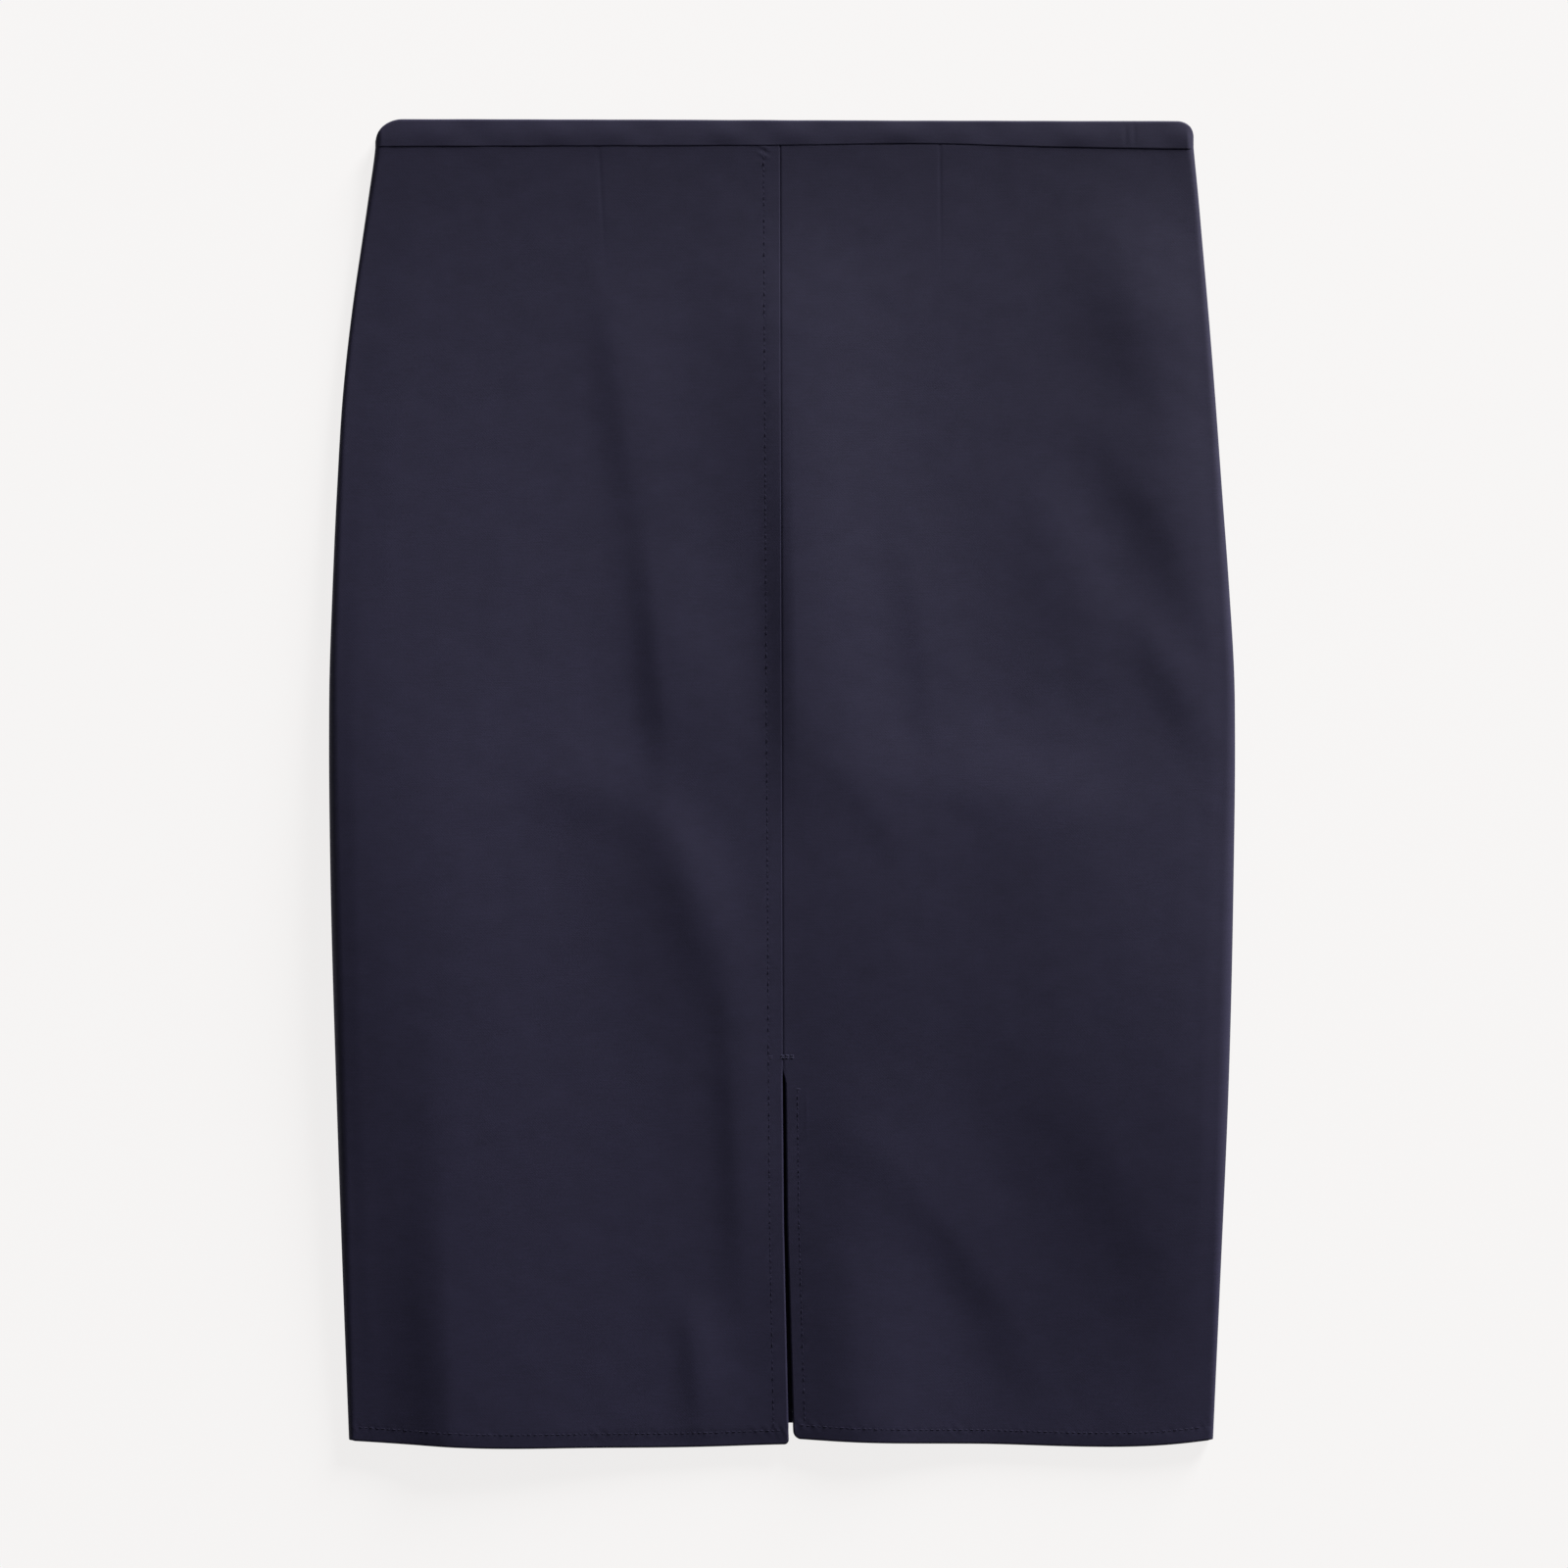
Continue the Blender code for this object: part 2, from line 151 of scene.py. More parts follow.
def smooth(at, rows, column):
    """Read a column of a table at the places given, along a cubic curve.

    Between two rows the curve is each row's value and slope, weighted by 1 - 3 f^2 + 2 f^3 and its kin.
    """
    knots = np.array([row[0] for row in rows], dtype=float) * MM
    values = np.array([getattr(row, column) for row in rows], dtype=float) * MM
    slopes = np.gradient(values, knots)
    k = np.clip(np.searchsorted(knots, at) - 1, 0, len(knots) - 2)
    span = knots[k + 1] - knots[k]
    f = np.clip((at - knots[k]) / span, 0, 1)
    near = values[k] * (1 + 2 * f) * (1 - f) ** 2 + slopes[k] * span * f * (1 - f) ** 2
    far = values[k + 1] * f**2 * (3 - 2 * f) - slopes[k + 1] * span * f**2 * (1 - f)
    return near + far


def smoothstep(f):
    """0 below 0, 1 above 1, and 3 f^2 - 2 f^3 between."""
    f = np.clip(f, 0, 1)
    return f * f * (3 - 2 * f)


def bell(distance, width):
    """1 in the middle, falling off as e to the minus square of distance over width."""
    return np.exp(-((distance / width) ** 2))


def side_left(y):
    """The left side edge: minus the left width at the distance that y is below the waistband."""
    return -smooth(SEAM_Y - y, OUTLINE, "left")


def side_right(y):
    """The right side edge: the right width at that distance."""
    return smooth(SEAM_Y - y, OUTLINE, "right")


def band_seam_y(x):
    """The seam of the waistband: a level line plus the small rises in its table."""
    return SEAM_Y + smooth(x, BAND_SEAM, "value")


WIDEST_Y = 20 * MM
print("widest:", round(float(side_right(WIDEST_Y) - side_left(WIDEST_Y)), 4))

# %% [markdown]
# The centre seam leans a little, and below the top of the slit the two panels part. Both seam allowances
# are pressed to the left, and the left panel's edge turns down into the seam, thin and sharp. The right
# panel runs on under it and dips along it. Two panels that only meet edge to edge would look like a gap. It
# is the dip, with one flank turned from the light, that gives a pressed seam its crisp dark line.

# %% The centre seam and the slit
SEAM_LEAN_TOP = -1.2 * MM
SEAM_LEAN_SLIT = 0.2 * MM
SLIT_BEND = 506 * MM        # the slit leans more from here down
SLIT_LEFT_AT_BEND = 0.9 * MM
SLIT_LEFT_AT_HEM = 3.2 * MM
SLIT_RIGHT_AT_TOP = 1.7 * MM
SLIT_RIGHT_AT_BEND = 2.6 * MM
SLIT_RIGHT_AT_HEM = 5.7 * MM
SLIT_EASE = 12 * MM         # the right panel comes out from under the left one over this length
TUCK = 0.9 * MM             # and above that it runs on so far under it
BAND_TUCK = 2 * MM          # and both panels run on into the waistband
CORNER_ROUND_LEFT = 1.4 * MM
CORNER_ROUND_RIGHT = 3.0 * MM
CORNER_SHARE = 0.97         # a corner is round up to this share of its quarter circle


def centre_left(y):
    """Right edge of the left panel, the seam and then the slit: straight lines between four places."""
    places = (0, SLIT_TOP, SLIT_BEND, SKIRT_FALL)
    sizes = (SEAM_LEAN_TOP, SEAM_LEAN_SLIT, SLIT_LEFT_AT_BEND, SLIT_LEFT_AT_HEM)
    return np.interp(SEAM_Y - y, places, sizes)


def slit_right(below):
    """The slit's right edge: straight lines from its top to its bend and on to the hem."""
    sizes = (SLIT_RIGHT_AT_TOP, SLIT_RIGHT_AT_BEND, SLIT_RIGHT_AT_HEM)
    return np.interp(below, (SLIT_TOP, SLIT_BEND, SKIRT_FALL), sizes)


def slit_open(y):
    """0 along the seam, 1 along the slit."""
    return smoothstep((SEAM_Y - y - SLIT_TOP) / SLIT_EASE)


def centre_right(y):
    """Left edge of the right panel: tucked under the left panel, then the right edge of the slit."""
    seam = centre_left(y) - TUCK
    return seam + (slit_right(SEAM_Y - y) - seam) * slit_open(y)


def corner_cut(distance, radius):
    """How far an edge draws in at a distance from its end: the radius less the height of a quarter circle."""
    share = CORNER_SHARE * np.clip(1 - distance / radius, 0, 1)
    return radius * (1 - np.sqrt(1 - share**2))


PLAIN_HEM_RISE = 7.2 * MM


def plain_hem_y(x):
    """The plain panel's hem: level with the upper hem at the sides, and higher between them by a parabola."""
    at_side = SEAM_Y - HEM_LEFT[0].value * MM
    return at_side + PLAIN_HEM_RISE * (1 - (x / side_right(at_side)) ** 2)


slit_width = centre_right(cad_low.y) - centre_left(cad_low.y)
print("the slit opens by", round(float(slit_width / MM), 2), "mm")

# %% [markdown]
# ## The folds
#
# Each fold is one row: a ridge along a line, which may bow to one side. Across the line it is a bell whose
# two flanks have their own widths. Along the line it swells and fades as the square of a sine, and a `late`
# above 1 moves its highest place towards the end. Places and sizes are in millimetres. The light comes from
# the upper right, so a flank that looks that way is bright and one that looks to the lower left is dark.
#
# The rises along the centre seam come first in the table. The star of creases at the hips and the broad
# swells above the hem follow, panel by panel. The solids of the frame have the same folds.

# %% The table of folds
Fold = namedtuple(
    "Fold", "name x_start below_start x_end below_end bow right_flank left_flank height late"
)
FOLDS = (
    # the seam
    Fold("rise along the centre seam", 2, -41, 8, 483, 0, 66, 44, 3.6, 1.4),
    Fold("rise by the darts", 1, -14, 6, 253, 0, 30, 54, 2.3, 1.0),
    Fold("seam edge", 5, 37, 8, 336, 0, 12, 46, 2.7, 1.5),
    Fold("belly", -689, 685, 691, 143, 0, 120, 200, 4.7, 1.0),
    # left panel
    Fold("dart ridge, upper end", -85, 39, -65, 196, 1, 11, 24, 1.1, 1.0),
    Fold("dart ridge, lower end", -70, 115, -48, 327, 1, 11, 28, 1.8, 1.3),
    Fold("hook", -133, 291, -50, 314, 3, 17, 30, 0.84, 0.9),
    Fold("thigh ridge", -88, 274, -21, 478, 20, 36, 26, 1.4, 0.8),
    Fold("thigh ridge, sharp crest", -76, 285, -25, 428, 10, 13, 14, 0.91, 0.8),
    Fold("thigh ridge, lower end", -28, 345, -17, 575, 2, 9, 16, 1.2, 1.1),
    Fold("hem swell", -159, 368, -149, 796, 0, 21, 76, 4.2, 1.1),
    Fold("hip swell", -169, 189, -165, 529, 0, 50, 36, 1.7, 1.0),
    Fold("left side swell", -203, 23, -201, 713, 0, 40, 110, 3.8, 0.85),
    Fold("thigh swell", -142, 41, -139, 547, 0, 110, 50, 2.0, 1.1),
    Fold("hem pleat", -43, 534, -38, 621, 1, 7, 12, 0.91, 0.8),
    # right panel
    Fold("first ray", 46, 106, 78, 313, 2, 11, 24, 0.84, 1.7),
    Fold("second ray", 109, 138, 157, 271, 3, 20, 18, 0.84, 0.9),
    Fold("seat ridge, inner", 1, 291, 167, 311, -8, 140, 34, 2.9, 0.9),
    Fold("seat ridge, outer", 75, 309, 201, 316, -10, 90, 34, 1.9, 0.95),
    Fold("seat pinch", 17, 276, 63, 345, 3, 9, 14, 0.38, 1.0),
    Fold("waist crease", 95, -110, 201, 230, 16, 24, 40, 2.4, 1.1),
    Fold("hip crease", 119, 104, 209, 274, 22, 17, 30, 1.5, 0.95),
    Fold("hip crease, lower end", 183, 189, 215, 271, 3, 12, 20, 0.53, 1.0),
    Fold("hip pinch", 157, 202, 206, 295, 2, 12, 14, 1.1, 1.0),
    Fold("knee ridge", -1, 432, 135, 612, 22, 17, 44, 1.4, 1.1),
    Fold("knee ridge, upper end", -4, 405, 93, 543, 0, 24, 80, 0.38, 0.9),
    Fold("side fold", 86, 359, 219, 575, 4, 38, 160, 2.4, 1.1),
    Fold("side swell", 180, -14, 203, 704, 0, 74, 110, 3.9, 1.35),
    Fold("slit swell", 31, 409, 45, 787, 0, 30, 36, 3.8, 0.9),
)


def fold_height(fold, x, below):
    """Height of one ridge: a bell across its line, times a squared sine along it."""
    dx = (fold.x_end - fold.x_start) * MM
    dy = (fold.below_end - fold.below_start) * MM
    run = np.hypot(dx, dy)
    from_x = x - fold.x_start * MM
    from_y = below - fold.below_start * MM
    along = np.clip((from_x * dx + from_y * dy) / run**2, 0, 1)
    across = (from_x * dy - from_y * dx) / run - fold.bow * MM * 4 * along * (1 - along)
    width = np.where(across < 0, fold.right_flank, fold.left_flank) * MM
    return fold.height * MM * np.sin(np.pi * along**fold.late) ** 2 * bell(across, width)


print(len(FOLDS), "folds, the highest", max(fold.height for fold in FOLDS), "mm")

# %% [markdown]
# Between the folds no cloth is quite flat: the yarns pull a little here and there. A sum of a few long
# waves in seeded directions gives that unrest without any pattern that the eye could find again.

# %% The unrest of woven cloth
UNREST_HEIGHT = 0.018 * MM
UNREST_WAVES = 14
chance = np.random.default_rng(11)
unrest_length = chance.uniform(11, 38, UNREST_WAVES) * MM
unrest_turn = chance.uniform(0, 2 * np.pi, UNREST_WAVES)
unrest_phase = chance.uniform(0, 2 * np.pi, UNREST_WAVES)


def unrest(x, y):
    """A sum of plane waves, each as high as its length is long, so that all are equally steep."""
    total = 0 * (x + y)
    for length, turn, phase in zip(unrest_length, unrest_turn, unrest_phase):
        distance = x * np.cos(turn) + y * np.sin(turn)
        total = total + length * np.sin(2 * np.pi * distance / length + phase)
    return UNREST_HEIGHT * total / unrest_length.mean() / np.sqrt(UNREST_WAVES / 2)


# %% [markdown]
# ## Lines of stitches
#
# A line of topstitching presses a groove into the cloth, and the thread draws the cloth together into small
# puckers on both sides of it. The lines are needed twice, for the grooves and for the threads, so each is a
# function that gives x at a height y, or y at a place x.

# %% Where the stitches run
STITCH_FROM_SEAM_TOP = 7.4 * MM
STITCH_FROM_SEAM_SLIT = 6.4 * MM
STITCH_FROM_SEAM_HEM = 6.8 * MM
HEM_STITCH = 6.9 * MM
SLIT_STITCH_TOP = 441.5 * MM
SLIT_STITCH_FROM_EDGE = 5.4 * MM
GROOVE_DEPTH = 0.03 * MM
GROOVE_WIDTH = 0.7 * MM
PUCKER_HEIGHT = 0.085 * MM
PUCKER_LENGTH = 4.6 * MM
PUCKER_REACH = 2.4 * MM
PUCKER_LEAN = 0.5           # a pucker moves on by this share of its distance from the line
WANDERS = ((1.7, 5.3), (0.9, 11.938))   # how far slow waves shift the puckers, and their length in puckers
CORNER_CALM = 14 * MM       # a line that runs down to the hem fades over this length
HEM_CALM = 0.6              # and the hem's own is this strong


def seam_stitch_x(y):
    """The topstitch beside the centre seam: the left panel's edge less a width that changes slowly."""
    places = (0, SLIT_TOP, SKIRT_FALL)
    sizes = (STITCH_FROM_SEAM_TOP, STITCH_FROM_SEAM_SLIT, STITCH_FROM_SEAM_HEM)
    return centre_left(y) - np.interp(SEAM_Y - y, places, sizes)


def slit_stitch_x(y):
    """The topstitch down the slit's right edge: that edge plus a steady width."""
    return slit_right(SEAM_Y - y) + SLIT_STITCH_FROM_EDGE


def hem_y(x, hem):
    """The hem of an upper panel: the drop in its table, measured down from the waistband's seam."""
    return SEAM_Y - smooth(x, hem, "value")


def stitched(distance, along, strength=1.0):
    """Height that a line of stitches adds: a narrow groove, and puckers that swell and fade beside it.

    The puckers are a sine along the line, and two slower sines shift it, so that no two are the same length.
    """
    groove = -GROOVE_DEPTH * bell(distance, GROOVE_WIDTH)
    turns = 2 * np.pi * along / PUCKER_LENGTH
    wander = sum(swing * np.sin(turns / length) for swing, length in WANDERS)
    wave = np.sin(2 * np.pi * (along + PUCKER_LEAN * distance) / PUCKER_LENGTH + wander)
    pucker = PUCKER_HEIGHT * wave * bell(distance, PUCKER_REACH)
    return strength * (groove + pucker)


# %% [markdown]
# ## The darts
#
# A dart is a wedge of cloth sewn away below the waist. From outside only a fine line shows, deepest at the
# waistband and gone where the wedge ends. So it is a groove in the height, and not a cut in the panel.

# %% Two darts
Dart = namedtuple("Dart", "x_top x_tip length")
DARTS = (Dart(-86.0, -82.0, 74.0), Dart(74.0, 74.6, 74.0))
DART_DEPTH = 0.10 * MM
DART_WIDTH = 0.7 * MM
DART_FULL = 1 / 11          # the groove keeps its depth over this share of the dart


def dart_height(x, below):
    """A groove along each dart's line: a bell across it, times a smooth fall from its full end to its tip."""
    total = 0 * (x + below)
    for dart in DARTS:
        along = np.clip(below / (dart.length * MM), 0, 1)
        line = (dart.x_top + (dart.x_tip - dart.x_top) * along) * MM
        fade = smoothstep((along - DART_FULL) / (1 - DART_FULL))
        total = total - DART_DEPTH * bell(x - line, DART_WIDTH) * (1 - fade)
    return total


# %% [markdown]
# ## The height of the upper cloth
#
# Everything above adds up here. The folds fade out towards the side edges, where the cloth turns over, and
# towards the waistband, which holds it flat. The hem sinks a little where the plain panel ends under it.

# %% One height for every place
EASE = 12 * MM              # folds sink over this width before the rolled edge
EDGE_KEEP = 0.93            # and keep this share of their height on it
FOLD_START = 90 * MM        # they fade out over this length below the waistband
BODY_SWELL = 0.4 * MM       # the seam allowances inside lift the whole middle a little
BODY_EASE = 26 * MM
BODY_START = 70 * MM
WAIST_LIFT_LENGTH = 140 * MM
HEM_DROP = 0.3 * MM
HEM_DROP_WIDTH = 10 * MM
LIP = 0.03 * MM             # the seam allowances lift the left panel's edge
LIP_WIDTH = 6 * MM
SEAM_DIP = 0.24 * MM        # the right panel dips where it goes under
SEAM_DIP_WIDTH = 0.66 * MM
FACING_WIDTH = 9.4 * MM     # the slit's right edge is turned under so far
FACING_EDGE = 0.05 * MM
FACING_SOFT = 0.7 * MM
FACING_FADE = 4 * MM
FACING_END = 466 * MM
STITCH_START = 2 * MM       # the slit's line of stitches presses in over this length


def facing_shows(below):
    """1 near the slit's top, where its facing's edge shows through, and a smooth fall to 0 both ways."""
    begins = smoothstep((below - SLIT_STITCH_TOP) / FACING_FADE)
    return begins * smoothstep((FACING_END - below) / FACING_FADE)


def inside(x, y, ease):
    """0 where the side edges begin to roll, 1 from a width of ease further in."""
    from_left = smoothstep((x - side_left(y) - ROLL) / ease)
    return from_left * smoothstep((side_right(y) - ROLL - x) / ease)


def fold_relief(x, y):
    """The folds, lower at the sides and faded at the waistband, and what the layers inside add to them."""
    below = SEAM_Y - y
    folds = sum(fold_height(fold, x, below) for fold in FOLDS)
    folds = folds * (EDGE_KEEP + (1 - EDGE_KEEP) * inside(x, y, EASE)) * smoothstep(below / FOLD_START)
    body = BODY_SWELL * inside(x, y, BODY_EASE) * smoothstep(below / BODY_START)
    waist = WAIST_LIFT * np.clip(1 - below / WAIST_LIFT_LENGTH, 0, 1) ** 3
    return folds + body + waist


def upper_height(x, y, hand):
    """Height of the upper cloth's outer face over the table. hand is -1 on the left panel, 1 on the right."""
    below = SEAM_Y - y
    height = REST + fold_relief(x, y) + unrest(x, y) + dart_height(x, below)

    past_plain = smoothstep((plain_hem_y(x) - y) / HEM_DROP_WIDTH)
    height = height - HEM_DROP * past_plain * inside(x, y, EASE)

    hem = hem_y(x, HEM_LEFT if hand < 0 else HEM_RIGHT)
    height = height + stitched(y - hem - HEM_STITCH, x, HEM_CALM)
    off_hem = smoothstep((y - hem - HEM_STITCH) / CORNER_CALM)
    if hand < 0:
        from_seam = centre_left(y) - x
        height = height + LIP * bell(from_seam, LIP_WIDTH)
        height = height + stitched(x - seam_stitch_x(y), y, off_hem)
    else:
        from_seam = np.maximum(x - centre_left(y), 0)
        height = height - SEAM_DIP * bell(from_seam, SEAM_DIP_WIDTH) * (1 - slit_open(y))
        facing = bell(x - slit_right(below) - FACING_WIDTH, FACING_SOFT)
        height = height + FACING_EDGE * facing * facing_shows(below)
        started = smoothstep((below - SLIT_STITCH_TOP) / STITCH_START)
        height = height + stitched(x - slit_stitch_x(y), y, off_hem * started)
    return height


# %% [markdown]
# ## Grids that are fine where it matters
#
# The panels are grids of points. A stitched groove needs points half a millimetre apart and the centre seam
# still closer ones, the open cloth only every two millimetres or so. A grid as fine as that everywhere
# would be far too heavy. `crowded` places the points: it adds up "one divided by the wanted cell" along a
# ruler, and a point goes wherever that sum passes a whole number.

# %% Places that crowd together
Spot = namedtuple("Spot", "at reach cell fade")
RULER_POINTS = 6001


def crowded(low, high, cell, spots):
    """Places from low to high, a cell apart, and closer within the reach of each spot."""
    ruler = np.linspace(low, high, RULER_POINTS)
    size = np.full_like(ruler, cell)
    for spot in spots:
        away = np.clip((np.abs(ruler - spot.at) - spot.reach) / spot.fade, 0, 1)
        size = np.minimum(size, spot.cell + (cell - spot.cell) * away)
    steps = np.diff(ruler) * (1 / size[1:] + 1 / size[:-1]) / 2
    count = np.concatenate([[0], np.cumsum(steps)])
    number = int(np.ceil(count[-1])) + 1
    return np.interp(np.linspace(0, count[-1], number), count, ruler)


# %% [markdown]
# ## Cloth that turns over an edge
#
# At both sides the upper cloth turns over and comes back under the skirt. That place of the grid has its
# own ruler, called `past`: it is 0 on the flat part, grows to 1 round the fold and to 2 at the side seam.

# %% Round the side edges
ROLL_STEPS = 10
UNDER_STEPS = 2
ROLL_SETTLES = 6
round_it = np.linspace(0, 1, ROLL_STEPS + 1)[1:]
under_it = 1 + np.linspace(0, 1, UNDER_STEPS + 1)[1:]
PAST_EDGE = np.concatenate([round_it, under_it])


def round_edge(past, radius, under):
    """Reach and height of cloth that turns over an edge.

    past runs from 0 to 1 round a half circle of the radius given, then to 2 along the table, back under.
    """
    angle = np.pi * np.clip(past, 0, 1)
    reach = radius * np.sin(angle) - under * np.clip(past - 1, 0, 1)
    return reach, radius * (1 + np.cos(angle))


def flat_run(past, radius):
    """Length of cloth from the edge when it is laid flat: the arc round the fold, then the part under it."""
    return np.where(past <= 1, np.pi * radius * past, np.pi * radius + UNDER * (past - 1))


def edge_roll(y, hand):
    """Radius on which a side edge turns over: half the height of the cloth there, settled in a few steps."""
    side = side_left(y) if hand < 0 else side_right(y)
    roll = ROLL + 0 * y
    for _ in range(ROLL_SETTLES):
        roll = upper_height(side - hand * roll, y, hand) / 2
    return roll


# %% [markdown]
# ## From a grid to a wall of cloth
#
# A surface without thickness has knife edges, and cloth has round ones. `wall` closes a grid into a thin
# body: the outer face, the inner face one thickness further in along the normals, and between them a half
# circle round the whole border. The Solidify modifier with Bevel could do this too, but the half circle
# here follows the changing thickness exactly, at the turned hem as well as at a single edge.

# %% Normals and borders of a grid
SHORTEST = 1e-12            # so that a vector without length doesn't divide by zero


def unit(vectors):
    """Each vector divided by its own length."""
    return vectors / np.maximum(np.linalg.norm(vectors, axis=-1, keepdims=True), SHORTEST)


def grid_normals(points, facing):
    """The cross product of the two directions of the grid, turned to the side that faces the way given."""
    down, across = np.gradient(points, axis=(0, 1))
    normals = unit(np.cross(across, down))
    return normals if (normals @ np.array(facing)).mean() > 0 else -normals


def border(grid):
    """The values along the border of a grid, once round, starting at its first corner."""
    return np.concatenate([grid[0, :-1], grid[:-1, -1], grid[-1, :0:-1], grid[:0:-1, 0]])


def outward(points, normals):
    """The way out of the grid at each border point: the border's direction crossed with the normal."""
    loop = border(points)
    along = np.roll(loop, -1, axis=0) - np.roll(loop, 1, axis=0)
    out = np.cross(along, border(normals))
    middle = points.mean(axis=(0, 1))
    turn = 1 if ((loop - middle) * out).sum() > 0 else -1
    return unit(turn * out)


# %% Put arrays into an object
def mesh_object(name, places, faces, pattern):
    """Put arrays of points, four-sided faces and flat positions into a new object."""
    mesh = bpy.data.meshes.new(name)
    mesh.vertices.add(len(places))
    mesh.vertices.foreach_set("co", places.astype(np.float32).ravel())
    mesh.loops.add(faces.size)
    mesh.loops.foreach_set("vertex_index", faces.astype(np.int32).ravel())
    mesh.polygons.add(len(faces))
    mesh.polygons.foreach_set("loop_start", np.arange(0, faces.size, 4, dtype=np.int32))
    uv = mesh.uv_layers.new(name="flat cloth")
    uv.data.foreach_set("uv", pattern[faces.ravel()].astype(np.float32).ravel())
    mesh.update(calc_edges=True)
    mesh.validate()
    mesh.shade_smooth()
    piece = bpy.data.objects.new(name, mesh)
    bpy.context.scene.collection.objects.link(piece)
    print(name, "has", len(places), "points and", len(faces) * 2, "triangles")
    return piece


# %% Close a grid into a wall
RIM_STEPS = 4


def quads(a, b, c, d):
    """Four arrays of corner numbers as a list of four-sided faces."""
    return np.stack([a, b, c, d], axis=-1).reshape(-1, 4)


def rim(points, normals, thickness):
    """Rings of points round the border: a half circle from the outer face to the inner one."""
    out = outward(points, normals)
    edge, edge_normal, half = border(points), border(normals), border(thickness)[:, None] / 2
    rings = []
    for step in range(1, RIM_STEPS):
        angle = np.pi * step / RIM_STEPS
        rings.append(edge - half * edge_normal + half * (np.cos(angle) * edge_normal + np.sin(angle) * out))
    return rings


def wall_faces(rows, columns):
    """Faces of the outer grid, of the inner grid turned round, and of the strips between their borders."""
    index = np.arange(rows * columns).reshape(rows, columns)
    round_length = len(border(index))
    loops = [border(index)]
    for step in range(RIM_STEPS - 1):
        loops.append(2 * rows * columns + step * round_length + np.arange(round_length))
    loops.append(border(index) + rows * columns)
    face = quads(index[:-1, :-1], index[:-1, 1:], index[1:, 1:], index[1:, :-1])
    back = face[:, ::-1] + rows * columns
    strips = [
        quads(near, far, np.roll(far, -1), np.roll(near, -1)) for near, far in zip(loops[:-1], loops[1:])
    ]
    return np.concatenate([face, back, *strips])


def wall(name, points, thickness, flat, facing):
    """Close a grid of points into a wall of cloth with round edges, and add its flat pattern as a UV map."""
    rows, columns = points.shape[:2]
    normals = grid_normals(points, facing)
    inner = points - normals * thickness[..., None]
    places = np.concatenate([points.reshape(-1, 3), inner.reshape(-1, 3), *rim(points, normals, thickness)])
    faces = wall_faces(rows, columns)
    first = faces[(rows - 1) * (columns - 1) // 2]
    looks = np.cross(places[first[1]] - places[first[0]], places[first[3]] - places[first[0]])
    if looks @ normals.reshape(-1, 3)[first[0]] < 0:
        faces = faces[:, ::-1]
    pattern = np.concatenate([flat.reshape(-1, 2)] * 2 + [border(flat)] * (RIM_STEPS - 1))
    return mesh_object(name, places, faces, pattern)


# %% [markdown]
# ## The two shaped panels
#
# Columns are counted in metres from the centre edge, rows in metres below the waistband. Past the last
# column the cloth goes round the side edge and a little way back under the skirt, to the side seam. A few
# rows lie above the waistband's seam: there the panel runs on inside the band, as its seam allowance does.

# %% How thick a shaped panel is
TURN_STEP = 0.8 * MM        # a turned edge ends over this width
SEAM_WALL = 0.36 * MM       # the left panel's edge, where it turns down into the centre seam
SEAM_WALL_WIDTH = 1 * MM


def turned(distance):
    """1 on a turned edge, 0 on single cloth, for distances from the edge."""
    return 1 - smoothstep((distance - TURN_WIDTH) / TURN_STEP)


def edge_wall(y):
    """The left panel's edge is pressed thin along the seam and turned under along the slit."""
    return SEAM_WALL + (TURNED - SEAM_WALL) * slit_open(y)


def panel_thickness(from_centre, from_hem, y, past, hand):
    """Two layers along the slit and the hem, one elsewhere, and less in the left panel along the seam."""
    at_centre = turned(np.abs(from_centre)) * slit_open(y)
    at_hem = turned(from_hem)
    thick = CLOTH + (TURNED - CLOTH) * np.where(past > 0, 0, np.maximum(at_centre, at_hem))
    if hand < 0:
        at_seam = bell(from_centre, SEAM_WALL_WIDTH) * (1 - slit_open(y))
        thick = thick - (CLOTH - SEAM_WALL) * at_seam
    return thick


# %% Columns and rows
COLUMN_CELL = 1.55 * MM
ROW_CELL = 2.7 * MM
FINE_CELL = 0.5 * MM
SEAM_CELL = 0.2 * MM
DART_CELL = 0.6 * MM
SIDE_CELL = 0.9 * MM
HEM_SPOT = Spot(SKIRT_FALL, 9 * MM, FINE_CELL, 6 * MM)


def panel_columns(hand):
    """The panel's breadth and two rows: the way from centre (0) to side (1), and how far past the side."""
    side = side_left if hand < 0 else side_right
    dart = DARTS[0 if hand < 0 else 1]
    breadth = abs(float(side(SEAM_Y))) - ROLL
    spots = (
        Spot(0, 2 * MM, SEAM_CELL, 2 * MM),
        Spot(0, 10 * MM, FINE_CELL, 6 * MM),
        Spot(abs(dart.x_tip) * MM, 2 * MM, DART_CELL, 3 * MM),
        Spot(breadth, 4 * MM, SIDE_CELL, 8 * MM),
    )
    flat_columns = crowded(0, breadth, COLUMN_CELL, spots)
    way = np.concatenate([flat_columns / breadth, np.ones(len(PAST_EDGE))])[None, :]
    past = np.concatenate([np.zeros(len(flat_columns)), PAST_EDGE])[None, :]
    return breadth, way, past


# %% Make the shaped panels
LEAST_UNDER = 0.5 * MM
GRID_SETTLES = 4            # x and y depend a little on each other and settle in this many rounds


